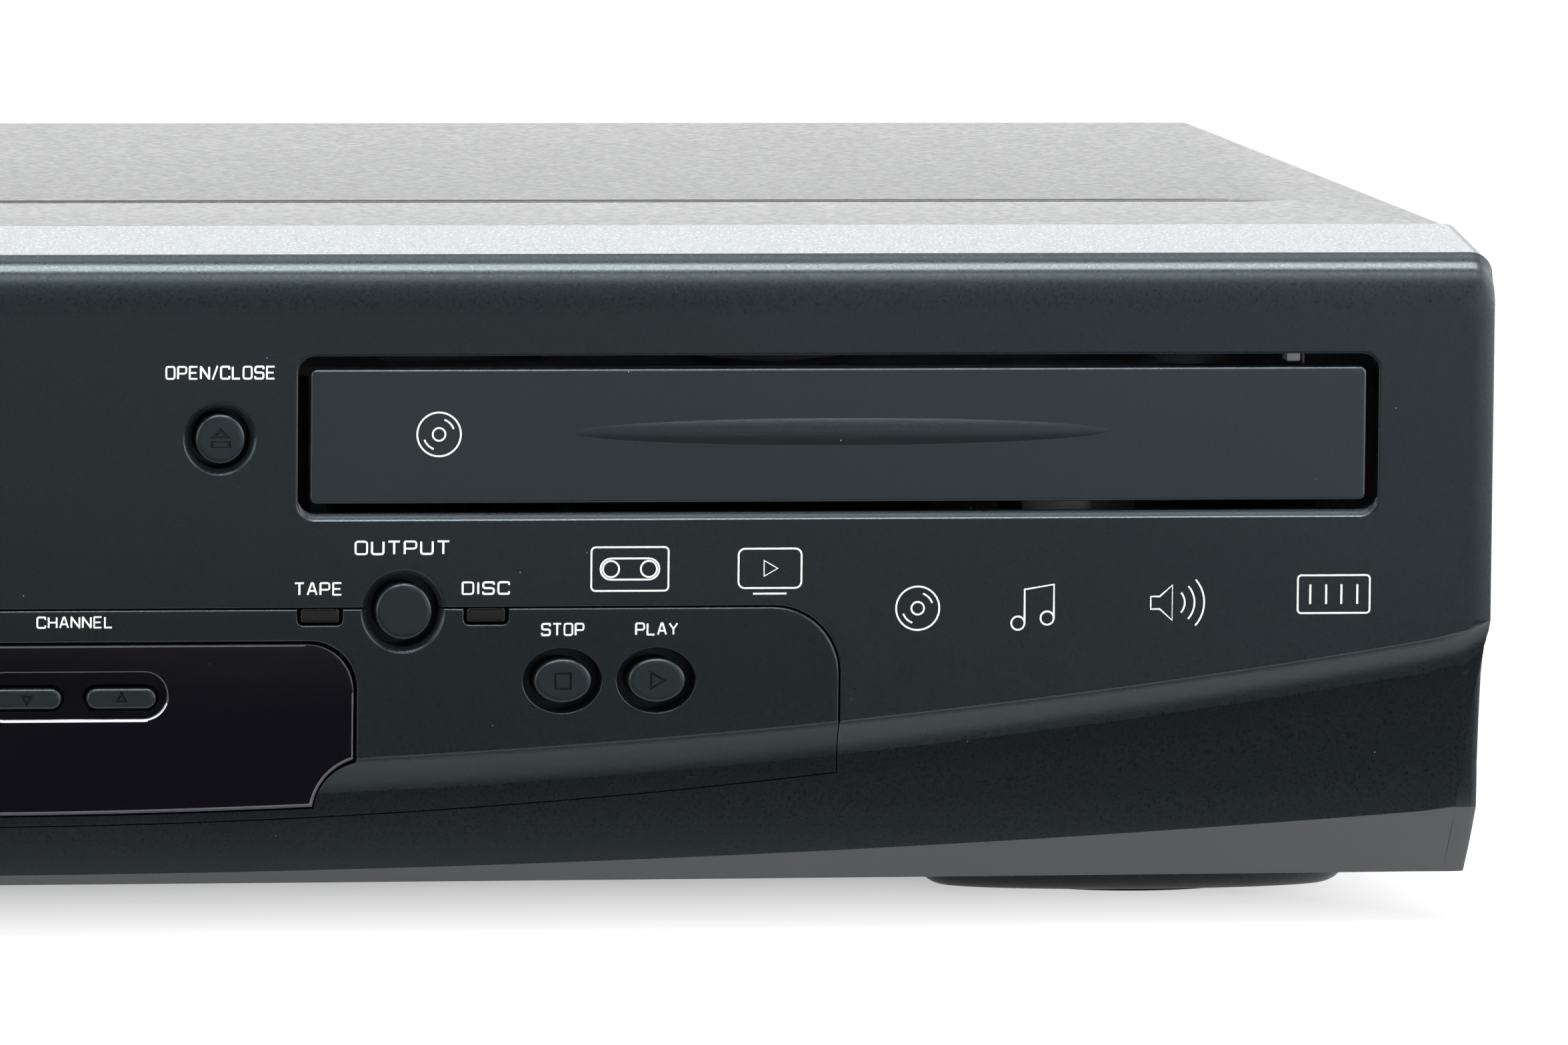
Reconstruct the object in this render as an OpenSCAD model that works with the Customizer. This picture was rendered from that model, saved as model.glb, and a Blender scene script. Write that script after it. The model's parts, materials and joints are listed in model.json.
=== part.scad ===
// Disc and tape combination player.
// Origin at the middle of the footprint, on the floor. +X right, +Y back, +Z up, front towards -Y.

/* [Case] */
// Width of the front bezel
body_w = 435; // [430:1:460]
// Depth from the front face to the outside of the rear panel
body_d = 226; // [224:1:280]
// Height from the floor to the top of the cover
body_h = 99.4; // [99:0.2:112]
// Height of the underside above the floor
foot_h = 7; // [6:0.5:12]
// Thickness of the steel sheet in the cover, chassis and rear panel
sheet_t = 1; // [0.6:0.1:1.4]
// How much narrower than the bezel the cover is, on each side
cover_inset = 4; // [3:0.2:6]
// Length of each oval foot
foot_l = 64; // [40:1:80]
// Width of each oval foot
foot_w = 30; // [20:1:36]
// Distance from the front face to the nearest edge of the front feet
foot_front = 32; // [20:1:40]
// Distance from the side of the bezel to the middle of a foot
foot_side = 48.5; // [42:0.5:60]

/* [Front bezel] */
// Depth of the bezel
bezel_d = 14; // [13:0.5:18]
// Wall of the bezel moulding
bezel_t = 2.6; // [2:0.1:3]
// How much narrower the bezel is at its back edge, on each side
bezel_flare = 2; // [1:0.1:2.6]
// Drop of the bright top facet from back to front
facet_drop = 3.6; // [2:0.1:4.5]
// Height of the crease at the middle, above the underside
crease_z = 16.6; // [14:0.2:18]
// Radius of the crease curve
crease_r = 1276; // [1100:10:1600]
// Step of the lower face behind the upper face
crease_step = 2.4; // [1.5:0.1:2.8]
// Height of the chin line at the middle, above the underside
chin_z = 1.4; // [1:0.1:3]
// Radius of the chin curve
chin_r = 2870; // [2500:10:3400]
// Radius of the bezel's top corners
corner_r = 3.7; // [2:0.1:5]

/* [Control panel and window] */
// Distance from the middle to the right edge of the control panel
panel_half = 123.6; // [118:0.2:126]
// Height of the top of the control panel above the underside
panel_z = 38.8; // [37:0.2:40]
// Radius of the control panel's upper corners
panel_r = 9.6; // [6:0.2:12]
// Distance from the middle to the edge of the display window
window_half = 54.4; // [50:0.2:58]
// Height of the top of the window above the underside
window_z = 33.9; // [32.5:0.1:35]
// Height of the bottom of the window at the middle, above the underside
window_low_z = 10.1; // [9:0.1:11]
// Gap round the inset mouldings
inset_gap = 0.15; // [0.1:0.05:0.3]

/* [Disc tray] */
// Distance from the right side of the bezel to the middle of the tray
tray_side = 94; // [93:0.5:97]
// Width of the tray opening
tray_open_w = 154.6; // [153:0.2:156]
// Height of the tray opening
tray_open_h = 23.7; // [23:0.1:25]
// Height of the tray opening above the underside
tray_open_z = 51.3; // [50:0.1:52]
// Gap between the tray door and the sides of its opening
door_gap = 1.7; // [0.5:0.1:2]
// Height of the tray door
door_h = 19; // [17:0.2:20]
// Travel of the tray
tray_travel = 134; // [100:1:140]
// Width of the disc tray
tray_w = 140; // [136:0.5:141]
// Radius of the disc well in the tray
disc_r = 60.5; // [60:0.1:62]
// Travel of the pickup
pickup_travel = 34; // [30:0.5:35]
// Lift of the traverse deck
deck_lift = 7.6; // [6.5:0.1:8]

/* [Tape side] */
// Distance from the left side of the bezel to the middle of the cassette flap
tape_side = 113.5; // [112:0.5:115]
// Width of the cassette flap
flap_w = 197; // [194:0.5:198]
// Height of the cassette flap
flap_h = 29.5; // [28:0.1:30]
// Height of the flap's lower edge above the underside
flap_z = 47.2; // [46.5:0.1:48]
// Gap round the cassette flap
flap_gap = 0.5; // [0.4:0.05:0.7]
// Swing of the cassette flap
flap_swing = 80; // [60:1:85]
// Inner width of the cassette holder
holder_w = 188.5; // [188:0.1:189.5]
// Inner height of the cassette holder
holder_h = 26.4; // [26:0.1:27]
// Depth of the cassette holder
holder_d = 98; // [90:1:100]
// Forward travel of the cassette holder
holder_out = 27; // [20:1:28]
// Downward travel of the cassette holder
holder_drop = 16.5; // [14:0.5:17]
// Radius of the head drum
drum_r = 31; // [30:0.1:32]
// Tilt of the head drum
drum_tilt = 5.5; // [4:0.1:6]
// Distance between the two reel tables
reel_pitch = 92; // [90:0.5:94]

/* [Buttons and fits] */
// How far the front buttons stand out
button_proud = 1.2; // [0.8:0.1:1.6]
// Travel of every button
button_travel = 0.8; // [0.5:0.1:1]
// Radial gap round the caps of the buttons
button_gap = 0.8; // [0.5:0.05:0.9]
// Radial clearance of shafts and pins that turn
running_gap = 0.05; // [0.02:0.01:0.09]
// Clearance between parts that pass each other
pass_gap = 0.3; // [0.25:0.05:0.4]
// Radius of a phono socket
jack_r = 4.15; // [4:0.05:4.2]
// Radius of an aerial socket
aerial_r = 4.7; // [4.5:0.05:4.8]
// How far the rear sockets stand out
jack_proud = 8; // [7:0.1:10]

/* [Hidden] */
$fn = 48;
arc_fn = 2400;
eps = 0.5;

// Case
total_d = body_d + button_proud + jack_proud;
face_y = -total_d / 2 + button_proud;
rear_y = total_d / 2 - jack_proud;
half = body_w / 2;
tray_x = half - tray_side;
tape_x = half - tape_side;
foot_x = half - foot_side;
cover_half = half - cover_inset;
cover_y = face_y + bezel_d;
floor_z = foot_h;
base_z = floor_z + sheet_t;
inner_half = cover_half - sheet_t - pass_gap;
chassis_y = cover_y + 0.2;

// Bezel
step_h = 1.4;
step_y = 1.4;
shoulder_z = body_h - facet_drop - step_h;
lower_y = face_y + crease_step;
back_y = face_y + crease_step + bezel_t;
crease_flank = 1.35;
chin_flank = 3.5;
chin_depth = 4;
upper_pocket_z = floor_z + panel_z + 2.5;

// Control panel and window
panel_top = floor_z + panel_z;
panel_low_z = floor_z + 8.4;
panel_low_r = 1101;
window_top = floor_z + window_z;
window_low = floor_z + window_low_z;
window_r = 6.7;
notch_x = window_half + 2.3;
notch_z = window_low - 0.2;
notch_r = 8.1;
recess_x = 14.8;
recess_w = 27;
recess_h = 7.3;
recess_z = floor_z + 27.05;
recess_d = 1.4;
led_w = 5.5;
led_h = 1.9;
led_z = panel_top - 0.9;
led_offset = 11.8;

// Buttons
round_r = 3.5;
output_r = 4;
oval_w = 8.2;
oval_h = 6.26;
pill_w = 9.9;
pill_h = 2.9;
well_rim = 0.8;
well_depth = 0.8;
open_x = tray_x - tray_open_w / 2 - 11;
open_z = floor_z + 63.4;
output_x = window_half + 6.9;
output_z = panel_top + 0.1;
oval_z = floor_z + 28.9;
oval_pitch = 13.4;
stop_x = panel_half - 39.6;
play_x = stop_x + oval_pitch;
tape_button_x = [for (i = [0 : 3]) -stop_x + (1 - i) * oval_pitch];
channel_pitch = 13.4;
channel_x = recess_x + channel_pitch / 2;
channel_z = floor_z + 26.7;
power_x = 32.5 - half;
power_z = floor_z + 33;
flange_y = back_y + pass_gap;
flange_t = 0.8;
stem_r = 1.5;
stem_end = flange_y + 2.6;
switch_y = stem_end + button_travel + 0.1;
board_y = switch_y + 3.4;
board_t = 1.6;

// Front sockets
front_jack_pitch = 15;
front_jack_x = [for (i = [0 : 2]) 72.5 - half - i * front_jack_pitch];
front_jack_z = floor_z + 17;
front_well_r = 6.5;

// Disc side
open_low = floor_z + tray_open_z;
open_top = open_low + tray_open_h;
door_w = tray_open_w - 2 * door_gap - 0.2;
door_low = open_low + 2.8;
door_t = 3;
tray_y = face_y + door_t;
tray_l = 165;
tray_low = open_low + 4.2;
tray_t = 6.5;
tray_top = tray_low + tray_t;
well_t = 4;
disc_y = tray_y + 12 + disc_r;
slot_w = 37;
rack_h = 2.4;
rack_x = tray_x + 46;
gear_module = 1;
pinion_teeth = 20;
pinion_r = gear_module * pinion_teeth / 2;
pinion_x = rack_x - pinion_r - gear_module;
pinion_y = face_y + 24.4;
frame_t = 2.5;
frame_inner = tray_w / 2 + 1.2;
frame_outer = frame_inner + frame_t;
frame_y0 = face_y + 16.5;
frame_y1 = tray_y + tray_l + 1;
frame_low = floor_z + 33;
frame_top = tray_top + 5;
deck_low = frame_low + frame_t + pass_gap;
deck_t = 2;
disc_rest = tray_low + well_t + 0.7;
turntable_rest = disc_rest - deck_lift;
spindle_r = 1.5;
motor_r = 13;
puck_low = tray_top + 0.9;
deck_half = 38;
deck_y0 = disc_y - 30;
deck_y1 = disc_y + 78;
pickup_y = disc_y + 26;
rod_x = 22;
rod_z = deck_low + 7;
rod_r = 1.5;
motor_x = pinion_x - 34;

// Tape side
flap_low = floor_z + flap_z;
flap_top = flap_low + flap_h;
flap_t = 2.4;
hinge_y = face_y + 5;
hinge_z = flap_top - 2.8;
hinge_r = 1.5;
holder_t = 1;
holder_y0 = face_y + 38;
holder_low = flap_low + 1.2;
side_in = holder_w / 2 + holder_t;
lift_in = side_in + 0.4;
lift_t = 1.1;
bridge_z = holder_low + holder_h + holder_t + 0.8;
rail_in = lift_in + lift_t + 0.4;
rail_t = 1.5;
guide_r = 1.5;
slot_gap = 0.1;
deck_z = floor_z + 17;
deck_plate = 1.5;
deck_top = deck_z + deck_plate;
deck_front = cover_y + 4.5;
drum_y = holder_y0 + holder_d + 41;
reel_y = holder_y0 + 44;
capstan_x = -tape_x + 52;
capstan_y = holder_y0 + holder_d + 14.5;
capstan_r = 2;
pinch_r = 7;
pinch_swing = 14;
arm_l = 22;
arm_x = capstan_x + pinch_r + capstan_r + 0.1;
arm_y = capstan_y + arm_l;
flywheel_r = 22;

// Boards and rear
board_z = base_z + 5;
rear_in = rear_y - sheet_t;
post_r = 4;
main_x0 = tray_x - 75.5;
main_y0 = face_y + 58.4;
power_x0 = 0;
power_w = 42;
power_y = face_y + 116.4;
inlet_back = 2.5;
jack_z = [floor_z + 58, floor_z + 42, floor_z + 26];
tuner_x = half - 45.5;
jack_x0 = tuner_x - 88;
jack_pitch = 15;
svideo_x = jack_x0 - 18;
svideo_r = 5.8;
aerial_z = [floor_z + 58, floor_z + 34];
inlet_x = power_x0 + 22;
inlet_z = floor_z + 20;
inlet_w = 16;
inlet_h = 9;
inlet_d = 13;

// Extrusion helpers
module along_y(y0, y1) translate([0, y1, 0]) rotate([90, 0, 0]) linear_extrude(y1 - y0) children();
module along_x(x0, x1) translate([x0, 0, 0]) rotate([90, 0, 90]) linear_extrude(x1 - x0) children();
module block(x0, x1, y0, y1, z0, z1) translate([x0, y0, z0]) cube([x1 - x0, y1 - y0, z1 - z0]);
module rod_y(x, z, r, y0, y1) translate([x, y0, z]) rotate([-90, 0, 0]) cylinder(r = r, h = y1 - y0);
module rod_x(y, z, r, x0, x1) translate([x0, y, z]) rotate([0, 90, 0]) cylinder(r = r, h = x1 - x0);
module rod_z(x, y, r, z0, z1) translate([x, y, z0]) cylinder(r = r, h = z1 - z0);

// Rectangle with round corners, drawn about its middle
module round_rect(w, h, r) {
    square([w - 2 * r, h], center = true);
    square([w, h - 2 * r], center = true);
    for (sx = [-1, 1], sz = [-1, 1]) translate([sx * (w / 2 - r), sz * (h / 2 - r)]) circle(r);
}
// Oval made of four blended arcs: two wide arcs cut to a width
module oval(w, h) {
    bow = (w * w / 4 + h * h / 4) / h * 1.12;
    intersection() {
        translate([0, h / 2 - bow]) circle(bow, $fn = 180);
        translate([0, bow - h / 2]) circle(bow, $fn = 180);
        circle(w / 2, $fn = 96);
    }
}

// Everything above a curve that rises towards both sides; grow widens it towards the back
module above_curve(low_z, radius, y0, y1, grow)
    translate([0, y0, low_z + radius]) rotate([-90, 0, 0])
        cylinder(r1 = radius, r2 = radius + grow, h = y1 - y0, $fn = arc_fn);

// Full outer form of the bezel, without holes
module fascia_form() {
    difference() {
        intersection() {
            along_x(-half, half) polygon([
                [cover_y, body_h], [face_y + step_y, body_h - facet_drop], [face_y + step_y, shoulder_z + 0.2],
                [face_y + 0.4, shoulder_z - 0.2], [face_y, shoulder_z - 1.2], [face_y, floor_z], [cover_y, floor_z]]);
            translate([0, 0, floor_z]) linear_extrude(body_h) polygon([
                [-half, face_y], [half, face_y], [half, face_y + 2], [half - bezel_flare, cover_y],
                [bezel_flare - half, cover_y], [-half, face_y + 2]]);
        }
        // lower face set back under the crease
        difference() {
            block(-half - eps, half + eps, face_y - eps, lower_y, 0, floor_z + 50);
            above_curve(floor_z + crease_z, crease_r, face_y, lower_y + eps,
                        (crease_step + eps) * crease_flank);
        }
        // sides step in under the crease
        for (side = [-1, 1]) difference() {
            block(min(side * (half - 1.8), side * (half + eps)), max(side * (half - 1.8), side * (half + eps)),
                  face_y - eps, cover_y + eps, 0, floor_z + 50);
            above_curve(floor_z + crease_z - 1, crease_r, face_y - 2 * eps, cover_y + 2 * eps, 0);
        }
        // chin leans back under its curve
        difference() {
            block(-half - eps, half + eps, lower_y - eps, lower_y + chin_depth, 0, floor_z + 20);
            above_curve(floor_z + chin_z, chin_r, lower_y - eps, lower_y + chin_depth + eps,
                        (chin_depth + 2 * eps) * chin_flank);
        }
        // round top corners
        for (side = [-1, 1]) along_y(face_y - eps, cover_y + eps)
            translate([side * (half - corner_r), body_h - corner_r]) scale([side, 1]) difference() {
                translate([0, 0]) square(corner_r + 5);
                circle(corner_r);
            }
    }
}
module panel_outline(grow) {
    w = 2 * (panel_half + grow);
    intersection() {
        translate([0, panel_top + grow - panel_r - 30]) round_rect(w, 2 * panel_r + 60, panel_r);
        translate([0, panel_low_z - grow + panel_low_r]) circle(panel_low_r, $fn = arc_fn);
    }
}
module window_outline(grow) {
    difference() {
        intersection() {
            translate([0, window_top + grow - 25]) round_rect(2 * (window_half + grow), 50, window_r);
            translate([0, window_low - grow + 1250]) circle(1250, $fn = arc_fn);
        }
        for (side = [-1, 1]) translate([side * notch_x, notch_z]) circle(notch_r - grow);
    }
}
// Bore and dished rim for a round button
module round_well(x, z, r) {
    rod_y(x, z, r + button_gap, face_y - eps, back_y + eps);
    rod_y(x, z, r + button_gap + well_rim, face_y - eps, face_y + well_depth);
}
// Bore and dished rim for an oval button
module oval_well(x, z) {
    translate([x, 0, z]) along_y(face_y - eps, back_y + eps)
        oval(oval_w + 2 * button_gap, oval_h + 2 * button_gap);
    translate([x, 0, z]) along_y(face_y - eps, face_y + well_depth)
        oval(oval_w + 2 * button_gap + 2 * well_rim, oval_h + 2 * button_gap + 2 * well_rim);
}
function oval_places() = concat(tape_button_x, [stop_x, play_x]);
module panel_holes() {
    for (x = oval_places()) oval_well(x, oval_z);
    round_well(output_x, output_z, output_r);
}

// Shell sub-parts
module front_bezel() color("#2b2f33") {
    difference() {
        fascia_form();
        block(-half + bezel_t, half - bezel_t - bezel_flare, back_y, cover_y + eps,
              floor_z + bezel_t, body_h - facet_drop - bezel_t);
        block(-half + bezel_t, half - bezel_t - bezel_flare, face_y + bezel_t, cover_y,
              upper_pocket_z, body_h - facet_drop - bezel_t - 1.4);
        block(-half - eps, -half + bezel_t + bezel_flare, cover_y - pass_gap, cover_y + eps, floor_z, body_h);
        along_y(face_y - eps, back_y + eps) panel_outline(inset_gap);
        along_y(face_y - eps, cover_y) translate([tray_x, open_low + tray_open_h / 2])
            round_rect(tray_open_w, tray_open_h, 2.5);
        along_y(face_y - eps, cover_y) translate([-tape_x, flap_low + flap_h / 2])
            square([flap_w + 2 * flap_gap, flap_h + 2 * flap_gap], center = true);
        round_well(open_x, open_z, round_r);
        round_well(output_x, output_z, output_r);
        round_well(power_x, power_z, round_r);
        for (x = front_jack_x) rod_y(x, front_jack_z, front_well_r, face_y - eps, back_y + eps);
    }
    // bearings of the flap
    for (side = [-1, 1]) difference() {
        ear = -tape_x + side * (flap_w / 2 + pass_gap + 2);
        block(ear - 2, ear + 2, face_y + bezel_t - 0.1, hinge_y + 3.4, hinge_z - 4, hinge_z + 4);
        rod_x(hinge_y, hinge_z, hinge_r + running_gap, ear - 3, ear + 3);
    }
    // lugs that carry the small boards
    for (x = [open_x, power_x], side = [-1, 1]) {
        z = x == open_x ? open_z : power_z;
        rod_y(x + side * 8.5, z, 2, back_y - (x == open_x ? crease_step + 0.1 : 0.1), board_y);
    }
}
module control_panel() color("#26292d") {
    difference() {
        intersection() {
            fascia_form();
            along_y(face_y - eps, back_y) panel_outline(0);
        }
        along_y(face_y - eps, back_y + eps) window_outline(inset_gap);
        panel_holes();
        for (side = [-1, 1]) along_y(face_y - eps, back_y + eps)
            translate([output_x + side * led_offset, led_z]) square([led_w + 0.2, led_h + 0.2], center = true);
    }
    for (x = [-panel_half + 8, panel_half - 8]) rod_y(x, oval_z - 8, 2.5, back_y - 0.1, board_y);
}
module display_window() color("#141219") difference() {
    along_y(face_y, back_y) window_outline(0);
    along_y(face_y - eps, face_y + recess_d) translate([recess_x, recess_z]) round_rect(recess_w, recess_h, 3.6);
    for (x = [channel_x - channel_pitch, channel_x]) along_y(face_y, back_y + eps)
        translate([x, channel_z]) round_rect(pill_w + 0.8, pill_h + 0.8, pill_h / 2 + 0.3);
}
module led_lenses() color("#3a3440")
    for (side = [-1, 1]) along_y(face_y + 0.2, back_y + 1)
        translate([output_x + side * led_offset, led_z]) square([led_w, led_h], center = true);

module cover_profile(grow) {
    translate([0, (body_h + base_z) / 2]) square([2 * (cover_half + grow), body_h - base_z + 2 * grow], center = true);
}
module top_cover() color("#1d1f21") difference() {
    along_y(cover_y, rear_y) difference() {
        union() {
            translate([-cover_half, floor_z + 0.6]) square([2 * cover_half, body_h - floor_z - 0.6 - 2]);
            translate([0, body_h - 2]) round_rect(2 * cover_half, 4, 1.9);
        }
        translate([-cover_half + sheet_t, 0]) square([2 * (cover_half - sheet_t), body_h - sheet_t]);
    }
    // bead pressed across the top
    block(-cover_half + 14, cover_half - 14, cover_y + 43, cover_y + 50, body_h - 0.4, body_h + 1);
    // vents in both sides
    for (side = [-1, 1], row = [0 : 2], i = [0 : 11])
        translate([side * cover_half, rear_y - 36 - i * 6, floor_z + 30 + row * 20])
            cube([4 * sheet_t + 2, 2.4, 14], center = true);
}
module cover_screws() color("#8c9094") {
    for (side = [-1, 1], y = [rear_y - 20, cover_y + 30]) {
        x = side * cover_half;
        rod_x(y, floor_z + 12, 3.4, side > 0 ? x : x - 1.6, side > 0 ? x + 1.6 : x);
    }
    for (x = [-1, 0, 1]) rod_y(x * (cover_half - 16), body_h - 8, 3.2, rear_y, rear_y + 1.6);
}
module stand(x, y, top, r) rod_z(x, y, r, base_z - 0.1, top);
module chassis_base() color("#9aa0a4") {
    difference() {
        union() {
            block(-inner_half, inner_half, chassis_y, rear_in - 0.1, floor_z, base_z);
            for (side = [-1, 1])
                block(side > 0 ? inner_half - sheet_t : -inner_half, side > 0 ? inner_half : sheet_t - inner_half,
                      chassis_y, rear_in - 0.1, floor_z, floor_z + 18);
        }
        for (i = [0 : 13], j = [0 : 2]) block(-190 + i * 12, -184 + i * 12, 20 + j * 24, 38 + j * 24, 0, base_z + eps);
    }
    for (x = [-tape_x - 96, -tape_x + 84], y = [deck_front + 6, rear_y - 20]) stand(x, y, deck_z, post_r);
    for (side = [-1, 1], y = [frame_y0 + 6, frame_y1 - 6]) stand(tray_x + side * (frame_inner - 5), y, frame_low, post_r);
    for (x = [main_x0 + 6, tray_x + 70], y = [main_y0 + 18, rear_in - 20]) stand(x, y, board_z, 2.5);
    for (x = [power_x0 + 4, power_x0 + power_w - 4], y = [face_y + 26, rear_in - 8]) stand(x, y, board_z, 2.5);
}
module rear_panel() color("#a2a6a8") difference() {
    block(-inner_half, inner_half, rear_in, rear_y, base_z, body_h - sheet_t - 0.2);
    for (x = [0 : 2], z = jack_z) rod_y(jack_x0 + x * jack_pitch, z, jack_r + pass_gap, rear_in - eps, rear_y + eps);
    rod_y(svideo_x, jack_z[0], svideo_r + pass_gap, rear_in - eps, rear_y + eps);
    for (z = aerial_z) rod_y(tuner_x, z, aerial_r + pass_gap, rear_in - eps, rear_y + eps);
    block(inlet_x - inlet_w / 2 - 0.2, inlet_x + inlet_w / 2 + 0.2, rear_in - eps, rear_y + eps,
          inlet_z - inlet_h / 2 - 0.2, inlet_z + inlet_h / 2 + 0.2);
    for (i = [0 : 19], row = [0, 1]) block(-180 + i * 7, -177 + i * 7, rear_in - eps, rear_y + eps,
                                          floor_z + 24 + row * 30, floor_z + 44 + row * 30);
}
function foot_places() = [for (side = [-1, 1]) for (y = [face_y + foot_front + foot_w / 2, rear_y - 20 - foot_w / 2])
    [side * foot_x, y]];
module foot_outline(grow) {
    bow = 54.8 + grow;
    intersection() {
        translate([0, bow - foot_w / 2 - grow]) circle(bow, $fn = 240);
        translate([0, foot_w / 2 + grow - bow]) circle(bow, $fn = 240);
        square([foot_l + 2 * grow, foot_w + 4], center = true);
    }
}
module feet() color("#1b1c1e") for (place = foot_places())
    translate([place[0], place[1], 1]) linear_extrude(foot_h - 1) foot_outline(0);
module foot_pads() color("#101112") for (place = foot_places())
    translate([place[0], place[1], 0]) linear_extrude(1) foot_outline(-2);

// Boards
module main_board() color("#3d6b3a") difference() {
    block(main_x0, tray_x + 80, main_y0, rear_in - 2, board_z, board_z + board_t);
    for (side = [-1, 1]) rod_z(tray_x + side * (frame_inner - 5), frame_y1 - 6, post_r + 1, 0, 60);
}
module power_board() color("#a8813f") block(power_x0, power_x0 + power_w, face_y + 20, rear_in - 2, board_z, board_z + board_t);
module power_parts() color("#c9a24a") {
    top = board_z + board_t;
    translate([power_x0, power_y, top]) {
        block(5, 39, -20, 12, 0, 28);
        block(9, 35, -26, 18, 6, 22);
        for (place = [[12, 40, 8, 25], [30, 44, 6, 20], [12, 62, 5, 16], [30, 62, 5, 16]])
            rod_z(place[0], place[1], place[2], 0, place[3]);
        for (i = [0 : 4]) block(6 + i * 7, 8 + i * 7, -62, -34, 0, 24);
        block(6, 36, -50, -48, 0, 24);
    }
}
module front_board() color("#3d6b3a") {
    block(-panel_half + 3, panel_half - 3, board_y, board_y + board_t, base_z + 4, panel_top + 4);
    block(open_x - 11, open_x + 11, board_y, board_y + board_t, open_z - 8, open_z + 8);
    block(power_x - 11, power_x + 11, board_y, board_y + board_t, power_z - 6, power_z + 6);
    block(front_jack_x[2] - 9, front_jack_x[0] + 9, face_y + 16, face_y + 16 + board_t,
          front_jack_z - 10, front_jack_z + 10);
}
function switch_places() = concat(
    [for (x = oval_places()) [x, oval_z]], [[output_x, output_z], [open_x, open_z], [power_x, power_z]],
    [for (x = [channel_x - channel_pitch, channel_x]) [x, channel_z]]);
module tact_switches() color("#d8d8d4") for (place = switch_places()) {
    block(place[0] - 3, place[0] + 3, switch_y + 0.4, board_y, place[1] - 3, place[1] + 3);
    rod_y(place[0], place[1], 1.4, switch_y, switch_y + 0.5);
}
module vfd_display() color("#3f5a58") {
    block(-48, -6, back_y + 0.4, back_y + 4, panel_top - 22, panel_top - 6);
    block(-50, -4, back_y + 3.9, board_y, panel_top - 24, panel_top - 4);
}
module tuner_module() color("#b9bdbf")
    block(tuner_x - 16, tuner_x + 16, rear_in - 32, rear_in - 0.3, board_z + board_t, floor_z + 68);
module rf_connectors() color("#c2b280") for (z = aerial_z) difference() {
    union() {
        rod_y(tuner_x, z, aerial_r, rear_in - 0.3, rear_y + jack_proud);
        rod_y(tuner_x, z, 6.4, rear_y + 0.1, rear_y + 1.8);
    }
    rod_y(tuner_x, z, 2.2, rear_y + 2, rear_y + jack_proud + eps);
}
module jack_shell(x, z, y0, y1) difference() {
    rod_y(x, z, jack_r, y0, y1);
    rod_y(x, z, 1.7, min(y0, y1) - eps, max(y0, y1) + eps);
}
module rear_av_jacks() color("#d9c24a") {
    for (i = [0 : 2]) {
        x = jack_x0 + i * jack_pitch;
        block(x - 6.5, x + 6.5, rear_in - 12, rear_in - 0.3, board_z + board_t, jack_z[0] + 7);
        for (z = jack_z) {
            jack_shell(x, z, rear_in - 0.4, rear_y + jack_proud - 0.4);
            difference() {
                rod_y(x, z, jack_r + 1.3, rear_y + 0.1, rear_y + 1);
                rod_y(x, z, jack_r - 0.5, rear_y, rear_y + 2);
            }
        }
    }
    block(svideo_x - 7, svideo_x + 7, rear_in - 12, rear_in - 0.3, board_z + board_t, jack_z[0] + 7);
    difference() {
        rod_y(svideo_x, jack_z[0], svideo_r, rear_in - 0.4, rear_y + 2);
        rod_y(svideo_x, jack_z[0], svideo_r - 1, rear_in + 0.2, rear_y + 3);
    }
}
module ac_inlet() color("#151515") {
    difference() {
        union() {
            block(inlet_x - inlet_w / 2, inlet_x + inlet_w / 2, rear_y - inlet_d, rear_y,
                  inlet_z - inlet_h / 2, inlet_z + inlet_h / 2);
            block(inlet_x - inlet_w / 2 - 2, inlet_x + inlet_w / 2 + 2, rear_y + 0.1, rear_y + 1.5,
                  inlet_z - inlet_h / 2 - 2, inlet_z + inlet_h / 2 + 2);
            block(inlet_x - inlet_w / 2, inlet_x + inlet_w / 2, rear_y - 0.1, rear_y + 0.2,
                  inlet_z - inlet_h / 2, inlet_z + inlet_h / 2);
            block(inlet_x - inlet_w / 2, inlet_x + inlet_w / 2, rear_y - inlet_d, rear_in - inlet_back,
                  board_z + board_t, inlet_z);
        }
        along_y(rear_y - inlet_d + 2, rear_y + 3) translate([inlet_x, inlet_z])
            round_rect(inlet_w - 2, inlet_h - 2, 3.2);
    }
    for (side = [-1, 1]) rod_y(inlet_x + side * 4.3, inlet_z, 1.2, rear_y - inlet_d + 1, rear_y - 2);
}
module front_av_jacks() color("#d9c24a") for (x = front_jack_x) {
    jack_shell(x, front_jack_z, face_y + 0.8, face_y + 8.1);
    block(x - 6, x + 6, face_y + 8, face_y + 16, front_jack_z - 6, front_jack_z + 6);
}
module ribbon_cables() color("#cfd2d4") {
    block(64, 84, board_y + board_t, main_y0 - 4, board_z - 2.6, board_z - 2);
    block(64, 84, main_y0 - 4.6, main_y0 + 8, board_z - 2.6, board_z);
    block(64, 84, board_y + board_t, board_y + board_t + 0.6, board_z - 2.6, board_z + 10);
    block(10, 30, board_y + board_t, face_y + 24, board_z - 2.6, board_z - 2);
    block(10, 30, board_y + board_t, board_y + board_t + 0.6, board_z - 2.6, board_z + 10);
    block(10, 30, face_y + 23.4, face_y + 24, board_z - 2.6, board_z);
}

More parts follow.
